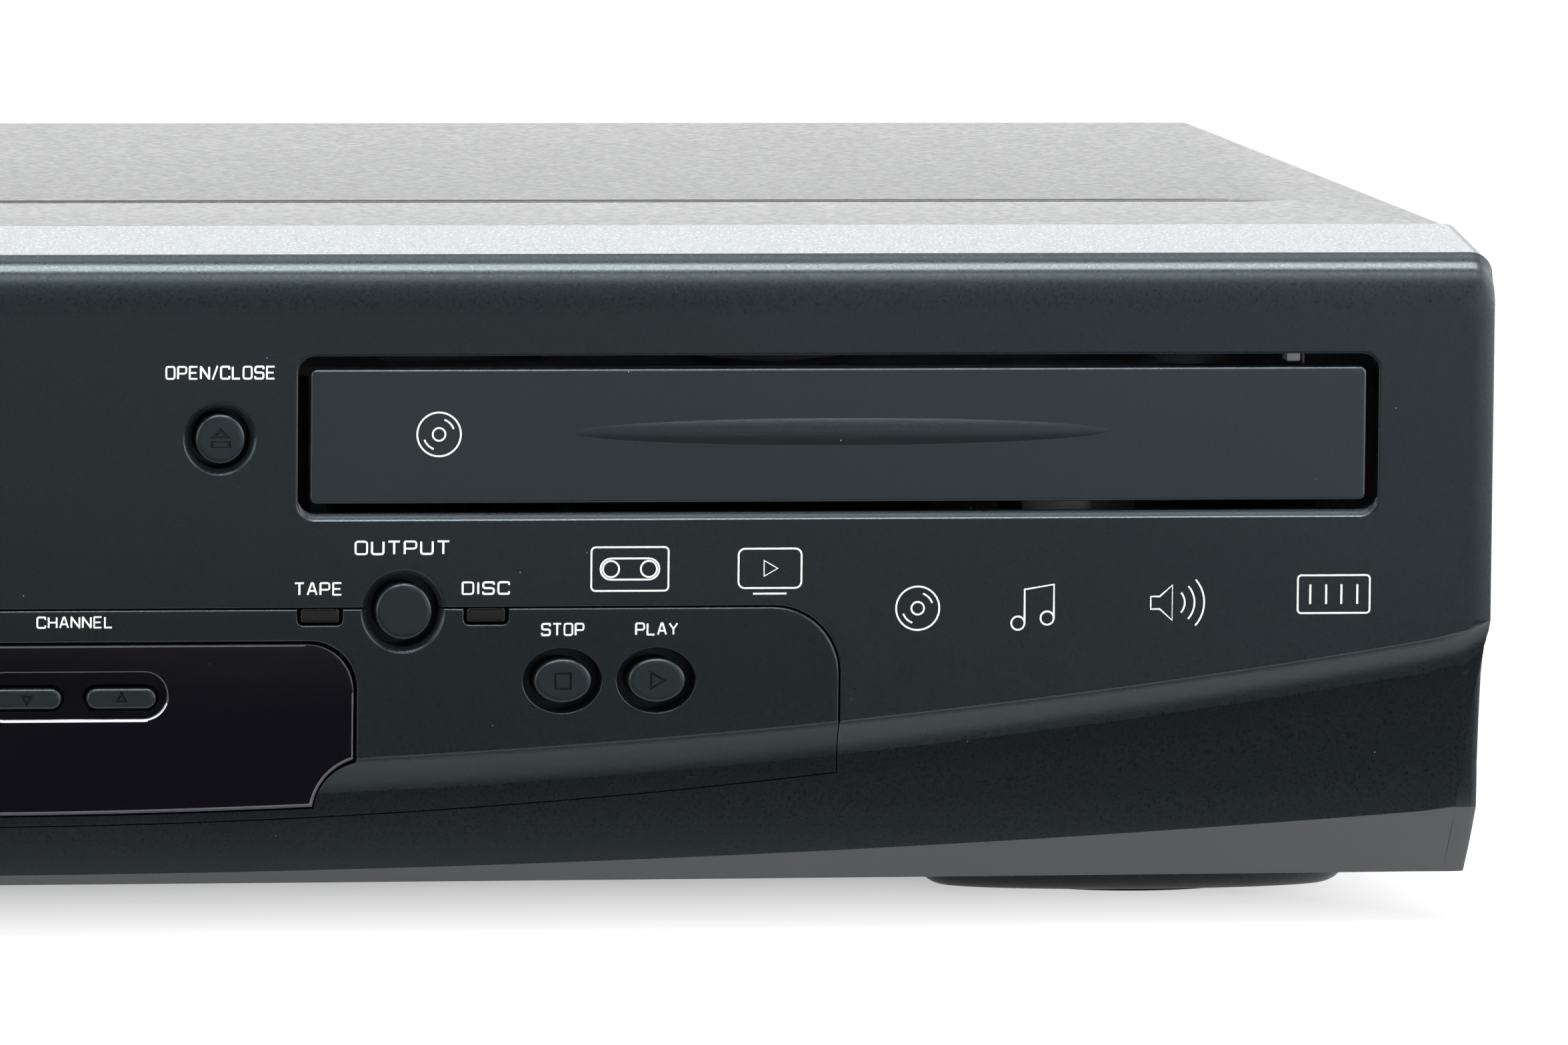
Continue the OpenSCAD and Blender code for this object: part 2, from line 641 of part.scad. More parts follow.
// Disc side
module dvd_frame() color("#26292b") difference() {
    union() {
        block(tray_x - frame_outer, tray_x + frame_outer, frame_y0, frame_y1, frame_low, frame_low + frame_t);
        for (side = [-1, 1]) {
            x0 = side > 0 ? tray_x + frame_inner : tray_x - frame_outer;
            block(x0, x0 + frame_t, frame_y0, frame_y1, frame_low, frame_top);
            l0 = side > 0 ? tray_x + frame_inner - 3 : tray_x - frame_inner;
            block(l0, l0 + 3, frame_y0, frame_y1, tray_low - 2.3, tray_low - 0.3);
            block(l0, l0 + 3, frame_y0, frame_y1, tray_top + 0.3, tray_top + 2);
        }
        // boss of the tray gear
        rod_z(pinion_x, pinion_y, 4, frame_low, frame_low + 8);
        rod_z(pinion_x, pinion_y, 2, frame_low, tray_low - 0.6);
        for (sx = [-1, 1], y = [deck_y0 + 6, deck_y1 - 6]) {
            rod_z(tray_x + sx * (deck_half - 5), y, 2, frame_low, deck_low + deck_lift + 6);
        }
    }
    block(tray_x - deck_half + 10, tray_x + deck_half - 10, deck_y0 + 4, deck_y1 - 4, 0, frame_low + frame_t + eps);
    rod_z(motor_x, pinion_y, 11, 0, frame_low + frame_t + eps);
}
module clamp_bridge() color("#8f9598") difference() {
    union() {
        block(tray_x - frame_outer, tray_x + frame_outer, disc_y - 16, disc_y + 16, frame_top, frame_top + 1.5);
    }
    rod_z(tray_x, disc_y, 8.6, frame_top - eps, frame_top + 2);
    for (side = [-1, 1]) block(tray_x + side * 45 - 12, tray_x + side * 45 + 12, disc_y - 8, disc_y + 8,
                               frame_top - eps, frame_top + 2);
}
module clamp_puck() color("#d4d6d6") {
    rod_z(tray_x, disc_y, 13, puck_low, puck_low + 2.4);
    rod_z(tray_x, disc_y, 8, puck_low, frame_top + 3);
    rod_z(tray_x, disc_y, 11, frame_top + 1.8, frame_top + 3.2);
}
module tray_motor() color("#9ba0a2") {
    rod_z(motor_x, pinion_y, 10, frame_low - 14, frame_low + frame_t + 2);
    rod_z(motor_x, pinion_y, 1, frame_low, frame_low + 12);
}
module drive_belt() color("#1a1a1a") {
    z0 = frame_low + 9.4;
    difference() {
        union() {
            rod_z(motor_x, pinion_y, 4.3, z0, z0 + 1.6);
            rod_z(pinion_x, pinion_y, 9.3, z0, z0 + 1.6);
            translate([0, 0, z0]) linear_extrude(1.6) belt_web(4.3, 9.3);
        }
        rod_z(motor_x, pinion_y, 3.1, z0 - eps, z0 + 3);
        rod_z(pinion_x, pinion_y, 8.1, z0 - eps, z0 + 3);
        translate([0, 0, z0 - eps]) linear_extrude(3) belt_web(3.1, 8.1);
    }
}
module belt_web(r0, r1) {
    tilt = asin((r1 - r0) / (pinion_x - motor_x));
    polygon([[motor_x - r0 * sin(tilt), pinion_y + r0 * cos(tilt)], [pinion_x - r1 * sin(tilt), pinion_y + r1 * cos(tilt)],
             [pinion_x - r1 * sin(tilt), pinion_y - r1 * cos(tilt)], [motor_x - r0 * sin(tilt), pinion_y - r0 * cos(tilt)]]);
}
module tooth(w_root, w_tip, depth) polygon([[0, -w_root / 2], [depth, -w_tip / 2], [depth, w_tip / 2], [0, w_root / 2]]);
module disc_tray() color("#2a2c2e") {
    difference() {
        block(tray_x - tray_w / 2, tray_x + tray_w / 2, tray_y, tray_y + tray_l, tray_low, tray_top);
        rod_z(tray_x, disc_y, disc_r, tray_low + well_t, tray_top + eps);
        rod_z(tray_x, disc_y, 41, tray_low + well_t - 1, tray_top + eps);
        rod_z(tray_x, disc_y, slot_w / 2, tray_low - eps, tray_top + eps);
        block(tray_x - slot_w / 2, tray_x + slot_w / 2, disc_y, disc_y + disc_r + 2, tray_low - eps, tray_top + eps);
    }
    // rack under the tray
    pitch = PI * gear_module;
    block(rack_x, rack_x + 4, tray_y + 6, tray_y + tray_l - 2, tray_low - rack_h, tray_low + 0.1);
    for (i = [-3 : 44]) translate([rack_x + 0.1, pinion_y + i * pitch, tray_low - rack_h]) mirror([1, 0, 0])
        linear_extrude(rack_h) tooth(2.0, 0.75, 2.0);
}
module tray_door() color("#24272a") {
    cz = door_low + door_h / 2;
    along_y(face_y, tray_y) translate([tray_x, cz]) round_rect(door_w, door_h, 1.2);
    // finger ridge
    intersection() {
        translate([tray_x, 0, cz + 0.5]) along_y(face_y - 1, face_y + 0.1) intersection() {
            translate([0, 1.75 - 413]) circle(413, $fn = 1440);
            translate([0, 413 - 1.75]) circle(413, $fn = 1440);
        }
    }
}
module tray_gear() color("#e2e2de") difference() {
    union() {
        z0 = frame_low + 8.3;
        rod_z(pinion_x, pinion_y, 8, z0, z0 + 3.6);
        rod_z(pinion_x, pinion_y, 9.6, z0, z0 + 0.9);
        rod_z(pinion_x, pinion_y, 9.6, z0 + 2.9, z0 + 3.8);
        rod_z(pinion_x, pinion_y, 5, z0 + 3.7, tray_low - rack_h + 0.1);
        translate([pinion_x, pinion_y, tray_low - rack_h - 0.1]) {
            cylinder(r = pinion_r - 1.15 * gear_module, h = rack_h - 0.2);
            for (i = [0 : pinion_teeth - 1]) rotate([0, 0, (i + 0.5) * 360 / pinion_teeth])
                translate([pinion_r - 1.3, 0, 0]) linear_extrude(rack_h - 0.2) tooth(1.95, 0.6, 2.1);
        }
    }
    rod_z(pinion_x, pinion_y, 2 + running_gap, 0, tray_top);
}
module motor_pulley() color("#e2e2de") difference() {
    z0 = frame_low + 8.3;
    union() {
        rod_z(motor_x, pinion_y, 3, z0, z0 + 3.6);
        rod_z(motor_x, pinion_y, 4.6, z0, z0 + 0.9);
        rod_z(motor_x, pinion_y, 4.6, z0 + 2.9, z0 + 3.8);
    }
    rod_z(motor_x, pinion_y, 1 + running_gap, 0, tray_top);
}
module traverse_deck() color("#3a3d40") {
    difference() {
        block(tray_x - deck_half, tray_x + deck_half, deck_y0, deck_y1, deck_low, deck_low + deck_t);
        block(tray_x - 16, tray_x + 16, disc_y + motor_r + 1, deck_y1 - 8, deck_low - eps, deck_low + deck_t + eps);
        for (sx = [-1, 1], y = [deck_y0 + 6, deck_y1 - 6])
            rod_z(tray_x + sx * (deck_half - 5), y, 2 + running_gap, deck_low - eps, deck_low + deck_t + eps);
    }
    rod_z(tray_x, disc_y, motor_r, deck_low + deck_t - 0.1, deck_low + 7);
    rod_z(tray_x, disc_y, spindle_r, deck_low + deck_t, turntable_rest - 0.6);
    for (side = [-1, 1]) {
        x = tray_x + side * rod_x;
        rod_y(x, rod_z, rod_r, deck_y0 + 2, deck_y1 - 2);
        for (y = [deck_y0, deck_y1 - 4]) block(x - 3, x + 3, y, y + 4, deck_low + deck_t - 0.1, rod_z + 0.2);
    }
}
module turntable() color("#c9cccc") difference() {
    union() {
        rod_z(tray_x, disc_y, 13, turntable_rest - 2.2, turntable_rest);
        rod_z(tray_x, disc_y, 4, deck_low + 7.3, turntable_rest - 2);
        translate([tray_x, disc_y, turntable_rest - 0.1]) cylinder(r1 = 7.4, r2 = 5, h = 2.2);
    }
    rod_z(tray_x, disc_y, spindle_r + running_gap, 0, turntable_rest - 0.5);
}
module pickup_sled() color("#4a4d50") {
    difference() {
        block(tray_x - rod_x - 5, tray_x + rod_x + 5, pickup_y - 10, pickup_y + 14, deck_low + 3, deck_low + 9.6);
        for (side = [-1, 1]) rod_y(tray_x + side * rod_x, rod_z, rod_r + running_gap, pickup_y - 20, pickup_y + 30);
    }
    rod_z(tray_x, pickup_y - 3, 5.5, deck_low + 9.5, deck_low + 10.6);
    rod_z(tray_x, pickup_y - 3, 2.8, deck_low + 10.5, deck_low + 11.4);
}

// Tape side
module vcr_deck() color("#a9adaf") difference() {
    union() {
        difference() {
            block(-tape_x - 100, -tape_x + 92, deck_front, rear_y - 12, deck_z, deck_top);
            rod_z(capstan_x, capstan_y, capstan_r + 1.5, 0, deck_top + eps);
            for (i = [0 : 2]) block(-tape_x - 30 + i * 24, -tape_x - 14 + i * 24, deck_front + 10, deck_front + 34,
                                   0, deck_top + eps);
        }
        rod_z(capstan_x, capstan_y, 5.5, deck_z, deck_top + 3.6);
        rod_z(arm_x, arm_y, 2, deck_z, deck_top + 16);
        rod_z(arm_x, arm_y, 4, deck_z, deck_top + 4);
        for (side = [-1, 1]) {
            x = -tape_x + side * reel_pitch / 2;
            rod_z(x, reel_y, 5, deck_z, deck_top + 1.5);
            rod_z(x, reel_y, 2, deck_z, deck_top + 12);
        }
    }
    rod_z(capstan_x, capstan_y, capstan_r + running_gap, 0, deck_top + 20);
}
module tilted_drum() translate([-tape_x, drum_y, deck_top + 9]) rotate([-drum_tilt, 0, 0]) children();
module lower_drum() color("#bfc3c5") {
    tilted_drum() {
        cylinder(r = drum_r, h = 15);
        translate([0, 0, 14.9]) cylinder(r = 3, h = 16);
    }
    for (side = [-1, 1]) rod_z(-tape_x + side * 20, drum_y, 5, deck_top - 0.1 + 0.1, deck_top + 10);
}
module upper_drum() color("#d3d6d7") tilted_drum() difference() {
    union() {
        translate([0, 0, 15.3]) cylinder(r = drum_r, h = 11);
        translate([0, 0, 26.2]) cylinder(r = 13, h = 3);
    }
    translate([0, 0, 15]) cylinder(r = 3 + running_gap, h = 20);
}
module guide_posts() color("#d9dcdd") {
    for (place = [[-52, -17], [52, 2], [-44, -30], [-66, -26]]) {
        x = -tape_x + place[0];
        y = drum_y + place[1];
        rod_z(x, y, 3, deck_top, deck_top + 34);
        for (z = [deck_top + 12, deck_top + 31]) rod_z(x, y, 4.6, z, z + 2);
    }
}
module tape_heads() color("#777c80") {
    block(-tape_x - 88, -tape_x - 78, capstan_y - 3, capstan_y + 4, deck_top, deck_top + 30);
    block(-tape_x + 36, -tape_x + 45, capstan_y + 1, capstan_y + 8, deck_top, deck_top + 30);
}
module carriage_rails() color("#9da2a4") for (side = [-1, 1]) difference() {
    x0 = side > 0 ? -tape_x + rail_in : -tape_x - rail_in - rail_t;
    union() {
        block(x0, x0 + rail_t, holder_y0 - 1, holder_y0 + holder_d + 6, deck_top, holder_low + holder_h + 4);
        foot0 = side > 0 ? x0 - 5 : x0;
        block(foot0, foot0 + rail_t + 5, holder_y0 + 20, holder_y0 + 70, deck_top, deck_top + 1.5);
    }
    for (y = [holder_y0 + 36, holder_y0 + holder_d - 2]) {
        block(x0 - eps, x0 + rail_t + eps, y - holder_out, y, holder_low + 12 - guide_r - slot_gap,
              holder_low + 12 + guide_r + slot_gap);
        for (end = [y, y - holder_out]) rod_x(end, holder_low + 12, guide_r + slot_gap, x0 - eps, x0 + rail_t + eps);
    }
}
module lift_frame() color("#b4b8ba") {
    for (side = [-1, 1]) {
        x0 = side > 0 ? -tape_x + lift_in : -tape_x - lift_in - lift_t;
        difference() {
            block(x0, x0 + lift_t, holder_y0 + 6, holder_y0 + holder_d, holder_low - 14, bridge_z + lift_t);
            for (y = [holder_y0 + 18, holder_y0 + holder_d - 18]) {
                block(x0 - eps, x0 + lift_t + eps, y - guide_r - slot_gap, y + guide_r + slot_gap,
                      holder_low + 7 - holder_drop, holder_low + 7);
                for (z = [holder_low + 7, holder_low + 7 - holder_drop])
                    rod_x(y, z, guide_r + slot_gap, x0 - eps, x0 + lift_t + eps);
            }
        }
        p0 = side > 0 ? x0 + lift_t - 0.1 : x0 - 0.4 - rail_t;
        for (y = [holder_y0 + 36, holder_y0 + holder_d - 2]) rod_x(y, holder_low + 12, guide_r, p0, p0 + 0.5 + rail_t);
    }
    block(-tape_x - lift_in - lift_t, -tape_x + lift_in + lift_t, holder_y0 + 30, holder_y0 + 60,
          bridge_z, bridge_z + lift_t);
}
module cassette_holder() color("#c2c6c8") {
    y1 = holder_y0 + holder_d - 4;
    difference() {
        block(-tape_x - side_in, -tape_x + side_in, holder_y0, y1, holder_low - holder_t, holder_low + holder_h + holder_t);
        block(-tape_x - holder_w / 2, -tape_x + holder_w / 2, holder_y0 - eps, y1 + eps, holder_low, holder_low + holder_h);
        for (side = [-1, 1]) rod_z(-tape_x + side * reel_pitch / 2, reel_y, 18, 0, holder_low + eps);
        block(-tape_x - 60, -tape_x + 60, holder_y0 + 14, y1 - 14, holder_low + holder_h - eps, body_h);
        block(-tape_x - holder_w / 2, -tape_x + holder_w / 2, y1 - 26, y1 + eps, 0, holder_low + eps);
    }
    for (side = [-1, 1], y = [holder_y0 + 18, holder_y0 + holder_d - 18]) {
        p0 = side > 0 ? -tape_x + side_in - 0.1 : -tape_x - side_in - 0.4 - lift_t;
        rod_x(y, holder_low + 7, guide_r, p0, p0 + 0.5 + lift_t);
    }
}
module loading_motor() color("#8f9496") {
    rod_y(-tape_x - 76, deck_top + 14, 12, drum_y - 8, drum_y + 22);
    block(-tape_x - 84, -tape_x - 68, drum_y - 6, drum_y + 20, deck_top, deck_top + 8);
}
module capstan() color("#c7cacb") {
    rod_z(capstan_x, capstan_y, capstan_r, base_z + 4, deck_top + 33);
    rod_z(capstan_x, capstan_y, flywheel_r, base_z + 4, deck_z - 1.6);
}
module at_arm() translate([arm_x, arm_y, 0]) rotate([0, 0, pinch_swing]) children();
module pinch_arm() color("#7f8487") difference() {
    z0 = deck_top + 4.3;
    at_arm() {
        block(-4, 4, -arm_l, 0, z0, z0 + 3);
        rod_z(0, 0, 5, z0, z0 + 8);
        rod_z(0, -arm_l, 5, z0, z0 + 3);
        rod_z(0, -arm_l, 2, z0, z0 + 26);
    }
    rod_z(arm_x, arm_y, 2 + running_gap, 0, 90);
}
module pinch_roller() color("#17181a") at_arm() translate([0, -arm_l, deck_top + 7.6]) difference() {
    cylinder(r = pinch_r, h = 18);
    translate([0, 0, -eps]) cylinder(r = 2 + running_gap, h = 30);
}
module reel_table(side) {
    x = -tape_x + side * reel_pitch / 2;
    z0 = deck_top + 1.8;
    difference() {
        union() {
            rod_z(x, reel_y, 15.5, z0, z0 + 4);
            rod_z(x, reel_y, 6.5, z0, z0 + 12);
            for (i = [0 : 2]) translate([x, reel_y, z0]) rotate([0, 0, i * 120]) translate([5, -0.8, 0]) cube([4.2, 1.6, 11]);
        }
        rod_z(x, reel_y, 2 + running_gap, 0, 90);
    }
}
module supply_reel() color("#e4e4e0") reel_table(-1);
module takeup_reel() color("#e4e4e0") reel_table(1);
module cassette_flap() color("#26292c") {
    x0 = -tape_x - flap_w / 2;
    x1 = -tape_x + flap_w / 2;
    along_x(x0, x1) difference() {
        translate([face_y, flap_low]) square([flap_t, flap_h]);
        translate([face_y - eps, flap_low - eps]) square([0.6 + eps, 0.8 + eps]);
    }
    block(x0 + 4, x1 - 4, face_y + flap_t - 0.1, hinge_y + 1.4, hinge_z - 1.4, hinge_z + 1.4);
    for (side = [-1, 1]) {
        end = side > 0 ? x1 : x0;
        rod_x(hinge_y, hinge_z, hinge_r, side > 0 ? end - 5 : end - pass_gap - 3.6, side > 0 ? end + pass_gap + 3.6 : end + 5);
    }
    // ribs inside
    for (i = [-2 : 2]) block(-tape_x + i * 40 - 0.6, -tape_x + i * 40 + 0.6, face_y + flap_t - 0.1, face_y + flap_t + 1.6,
                             flap_low + 4, hinge_z - 1);
}

// Buttons: cap, retaining flange and stem
module button_back(x, z, w, h) {
    along_y(flange_y, flange_y + flange_t) translate([x, z]) square([w, h], center = true);
    rod_y(x, z, stem_r, flange_y, stem_end);
}
module round_button(x, z, r) {
    rod_y(x, z, r, face_y - button_proud, flange_y + flange_t);
    rod_y(x, z, r + button_gap + 0.9, flange_y, flange_y + flange_t);
    rod_y(x, z, stem_r, flange_y, stem_end);
}
module oval_button(x) {
    along_y(face_y - button_proud, flange_y + 0.1) translate([x, oval_z]) oval(oval_w, oval_h);
    button_back(x, oval_z, oval_w + 2 * button_gap + 1.6, oval_h + 2 * button_gap + 1.2);
}
module channel_button(x) {
    along_y(face_y + 0.3, flange_y + 0.1) translate([x, channel_z]) round_rect(pill_w, pill_h, pill_h / 2 - 0.01);
    button_back(x, channel_z, pill_w + 2, pill_h + 2.4);
}
module open_close_button() color("#2a2d31") round_button(open_x, open_z, round_r);
module output_button() color("#2a2d31") round_button(output_x, output_z, output_r);
module power_button() color("#2a2d31") round_button(power_x, power_z, round_r);
module disc_stop_button() color("#2a2d31") oval_button(stop_x);
module disc_play_button() color("#2a2d31") oval_button(play_x);
module tape_rewind_button() color("#2a2d31") oval_button(tape_button_x[3]);
module tape_play_button() color("#2a2d31") oval_button(tape_button_x[2]);
module channel_up_button() color("#2a2d31") channel_button(channel_x);
module channel_down_button() color("#2a2d31") channel_button(channel_x - channel_pitch);
module tape_forward_button() color("#2a2d31") oval_button(tape_button_x[1]);
module tape_stop_button() color("#2a2d31") oval_button(tape_button_x[0]);

top_cover();
cover_screws();
chassis_base();
rear_panel();
front_bezel();
control_panel();
display_window();
feet();
foot_pads();
led_lenses();
main_board();
power_board();
power_parts();
front_board();
tact_switches();
vfd_display();
tuner_module();
rf_connectors();
rear_av_jacks();
ac_inlet();
front_av_jacks();
ribbon_cables();
dvd_frame();
clamp_bridge();
tray_motor();
drive_belt();
vcr_deck();
lower_drum();
guide_posts();
tape_heads();
carriage_rails();
loading_motor();
disc_tray();
tray_door();
tray_gear();
motor_pulley();
traverse_deck();
turntable();
clamp_puck();
pickup_sled();
cassette_flap();
lift_frame();
cassette_holder();
upper_drum();
capstan();
pinch_arm();
pinch_roller();
supply_reel();
takeup_reel();
open_close_button();
output_button();
disc_stop_button();
disc_play_button();
channel_up_button();
channel_down_button();
power_button();
tape_rewind_button();
tape_play_button();
tape_forward_button();
tape_stop_button();
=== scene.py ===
import json
import math

import bmesh
import bpy
from mathutils import Matrix, Vector

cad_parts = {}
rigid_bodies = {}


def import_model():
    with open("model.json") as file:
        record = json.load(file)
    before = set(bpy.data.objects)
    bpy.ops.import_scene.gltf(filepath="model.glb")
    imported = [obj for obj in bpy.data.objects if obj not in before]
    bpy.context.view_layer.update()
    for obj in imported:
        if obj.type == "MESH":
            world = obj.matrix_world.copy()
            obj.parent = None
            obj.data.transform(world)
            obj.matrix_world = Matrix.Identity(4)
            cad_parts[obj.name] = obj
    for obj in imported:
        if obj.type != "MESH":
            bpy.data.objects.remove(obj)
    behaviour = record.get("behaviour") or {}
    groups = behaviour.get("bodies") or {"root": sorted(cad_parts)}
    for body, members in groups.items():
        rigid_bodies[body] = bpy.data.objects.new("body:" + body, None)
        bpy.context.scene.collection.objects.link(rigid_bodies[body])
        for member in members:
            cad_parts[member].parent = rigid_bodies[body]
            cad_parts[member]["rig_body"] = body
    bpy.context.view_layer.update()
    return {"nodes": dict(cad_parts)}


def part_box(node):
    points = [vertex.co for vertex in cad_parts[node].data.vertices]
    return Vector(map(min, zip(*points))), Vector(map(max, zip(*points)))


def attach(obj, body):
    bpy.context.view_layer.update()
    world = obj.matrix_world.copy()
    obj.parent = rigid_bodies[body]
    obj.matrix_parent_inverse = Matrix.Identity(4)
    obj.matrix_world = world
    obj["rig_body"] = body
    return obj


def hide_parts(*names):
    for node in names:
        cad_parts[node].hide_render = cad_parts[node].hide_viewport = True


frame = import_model()

# Sizes are in millimetres and are taken to metres where a mesh or a lamp is placed.
MM = 0.001


def span(node):
    """Lowest and highest corner of a node, in millimetres."""
    low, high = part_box(node)
    return low / MM, high / MM


def middle(node):
    low, high = span(node)
    return (low + high) / 2


def middle_of(node):
    """Where the middle of a node lies on the face."""
    centre = middle(node)
    return centre.x, centre.z


face_y = span("control_panel")[0].y
half = span("front_bezel")[1].x
bezel_back = span("front_bezel")[1].y
rear_y = span("rear_panel")[1].y
top_z = span("top_cover")[1].z
base_z = span("front_bezel")[0].z


# Camera and room

def aim_camera():
    """Long lens, a little to the left of the case and above it."""
    yaw, pitch, roll = math.radians(8.402), math.radians(5.432), math.radians(0.534)
    ahead = Vector((math.sin(yaw) * math.cos(pitch), math.cos(yaw) * math.cos(pitch), -math.sin(pitch)))
    right = Vector((math.cos(yaw), -math.sin(yaw), 0))
    up = right.cross(ahead)
    side = right * math.cos(roll) + up * math.sin(roll)
    top = up * math.cos(roll) - right * math.sin(roll)
    bpy.ops.object.camera_add(location=(-0.1871, -2.1647, 0.2551))
    camera = bpy.context.object
    camera.name = "camera"
    camera.rotation_euler = Matrix((side, top, -ahead)).transposed().to_euler()
    camera.data.lens = 337.6
    camera.data.sensor_width = 36
    camera.data.clip_end = 60
    bpy.context.scene.camera = camera


def lamp(name, place, target, size, strength, tint=(1, 1, 1)):
    """A soft box that the camera doesn't see. Strength is in watts."""
    bpy.ops.object.light_add(type="AREA", location=place)
    box = bpy.context.object
    box.name = name
    box.data.shape = "RECTANGLE"
    box.data.size, box.data.size_y = size
    box.data.energy = strength
    box.data.color = tint
    box.rotation_euler = (Vector(target) - Vector(place)).to_track_quat("-Z", "Y").to_euler()
    box.visible_camera = False
    return box


def light_room():
    """Soft boxes round the case, and a pale room that the case mirrors more of at the back than in front."""
    cool = (0.95, 0.98, 1)
    lamp("key", (0.42, -2.2, 1.62), (0.05, -0.1, 0.04), (1.35, 0.65), 15, cool)
    lamp("fill_left", (-1.9, -1.9, 1.7), (0, 0, 0.04), (1.2, 1.2), 6, cool)
    lamp("overhead", (0.15, -0.1, 1.8), (0.1, -0.1, 0), (2.2, 2.2), 11)
    lamp("strip", (0.14, -0.48, 1.25), (0.1, -0.12, 0.09), (1.15, 0.26), 19)
    lamp("wing_left", (-0.62, -0.2, 0.3), (0, -0.2, 0.12), (0.9, 0.55), 4)
    lamp("wing_right", (0.66, -0.32, 0.3), (0, -0.3, 0.12), (0.9, 0.55), 5)
    lamp("low_left", (-2.0, -1.7, 0.36), (0, -0.1, 0.02), (1.5, 0.7), 5)
    lamp("low_right", (2.3, -1.5, 0.36), (0, -0.1, 0.02), (1.5, 0.7), 5)
    lamp("side_right", (1.25, -2.05, 0.26), (0.15, -0.12, 0.05), (0.8, 0.8), 4, cool)
    lamp("back_box", (0.2, 2.6, 2.05), (0.1, -0.1, 0.1), (3.4, 0.9), 58)
    lamp("back_low", (0.4, 2.7, 0.36), (0.1, -0.1, 0.1), (4.2, 0.7), 23)
    world = bpy.data.worlds.new("room")
    bpy.context.scene.world = world
    world.use_nodes = True
    tree = world.node_tree
    tree.nodes.clear()
    split = add(tree, "SeparateXYZ", {0: add(tree, "TexCoord").outputs["Generated"]})
    depth = spread(tree, split.outputs["Y"], 0, 1, -0.35, 0.75)
    room = add(tree, "Background", {"Color": mixed(tree, depth, (0.05, 0.055, 0.06), (1.12, 1.12, 1.12))})
    paper = add(tree, "Background", {"Color": (1, 1, 1)})
    seen = add(tree, "LightPath").outputs["Is Camera Ray"]
    add(tree, "OutputWorld", {"Surface": mixed_shaders(tree, seen, room, paper)})


def floor_paint(name, under):
    """Pale table paint that is partly its own light to the camera. Under the case its glow falls away from the front
    and the sides as a painted shadow.
    """
    material, tree, shader = new_material(name)
    feed(tree, shader, {"Base Color": (0.62, 0.62, 0.62), "Roughness": 0.9, "Specular IOR Level": 0.1})
    glow = add(tree, "Emission", {"Color": (1, 1, 1), "Strength": 1})
    share, mirrored = 0.5, 0.7
    if under:
        # Painted shadow under the case: the glow share falls with depth from the front and away from the sides.
        split = add(tree, "SeparateXYZ", {0: over_object(tree)})
        side = maths(tree, "ABSOLUTE", split.outputs["X"])
        painted_shadow_inward = spread(tree, split.outputs["Y"], 0.98, 0.44, (face_y + 1) * MM, (face_y + 64) * MM)
        painted_shadow_sides = spread(tree, side, 0.44, 0.93, (half - 44) * MM, half * MM)
        share, mirrored = maths(tree, "MAXIMUM", painted_shadow_inward, painted_shadow_sides), 0.2
    path = add(tree, "LightPath")
    seen = maths(tree, "MULTIPLY", path.outputs["Is Camera Ray"], share)
    share = maths(tree, "MULTIPLY_ADD", path.outputs["Is Glossy Ray"], mirrored, seen)
    feed(tree, tree.nodes["out"], {"Surface": mixed_shaders(tree, share, shader, glow)})
    return material


def lay_floor():
    """A pale table in pieces: those before the case give no reflection, like a dark cloth, and one lies under it with
    a painted shadow.
    """
    open_paint, painted_shadow_floor = floor_paint("pale_floor", False), floor_paint("pale_floor_painted_shadow", True)
    front, back = face_y + 3, rear_y
    near, mid, far = face_y - 46, face_y - 470, face_y - 1000
    wide = 12000
    for name, x0, x1, y0, y1, mirrored in (
            ("table_under", -half, half, front, back, True), ("table_left", -wide, -half, front, back, True),
            ("table_right", half, wide, front, back, True), ("table_back", -wide, wide, back, 16000, True),
            ("table_near", -wide, wide, near, front, True), ("table_cloth", -wide, wide, mid, near, False),
            ("table_front", -wide, wide, far, mid, True), ("table_end", -wide, wide, -12000, far, False)):
        bpy.ops.mesh.primitive_plane_add(size=1)
        floor = bpy.context.object
        floor.name = name
        for vertex in floor.data.vertices:
            vertex.co = Vector((x0 if vertex.co.x < 0 else x1, y0 if vertex.co.y < 0 else y1, -0.2)) * MM
        floor.data.materials.append(painted_shadow_floor if name == "table_under" else open_paint)
        floor.visible_glossy = mirrored
    bpy.context.scene.view_settings.view_transform = "Standard"


# Finishes

def feed(tree, node, inputs):
    """Sets inputs of a node. Each is a value or the socket that it comes from."""
    for key, value in inputs.items():
        socket = node.inputs[key]
        if isinstance(value, bpy.types.NodeSocket):
            tree.links.new(value, socket)
        else:
            socket.default_value = (*value, 1) if socket.type == "RGBA" else value
    return node


def add(tree, kind, inputs=None, **settings):
    """A new node with its settings and inputs."""
    node = tree.nodes.new("ShaderNode" + kind)
    for key, value in settings.items():
        setattr(node, key, value)
    return feed(tree, node, inputs or {})


def new_material(name="finish"):
    """A material, its node tree and its one shader. Its output node is called out."""
    material = bpy.data.materials.new(name)
    material.use_nodes = True
    tree = material.node_tree
    tree.nodes.clear()
    shader = add(tree, "BsdfPrincipled")
    add(tree, "OutputMaterial", {"Surface": shader.outputs[0]}).name = "out"
    return material, tree, shader


def over_object(tree):
    return add(tree, "TexCoord").outputs["Object"]


def maths(tree, operation, *values):
    return add(tree, "Math", dict(enumerate(values)), operation=operation).outputs[0]


def mixed(tree, share, first, second):
    """The first colour where share is 0 and the second where it is 1."""
    return add(tree, "Mix", {"Factor": share, "A": first, "B": second}, data_type="RGBA").outputs["Result"]


def mixed_shaders(tree, share, first, second):
    return add(tree, "MixShader", {"Fac": share, 1: first.outputs[0], 2: second.outputs[0]}).outputs[0]


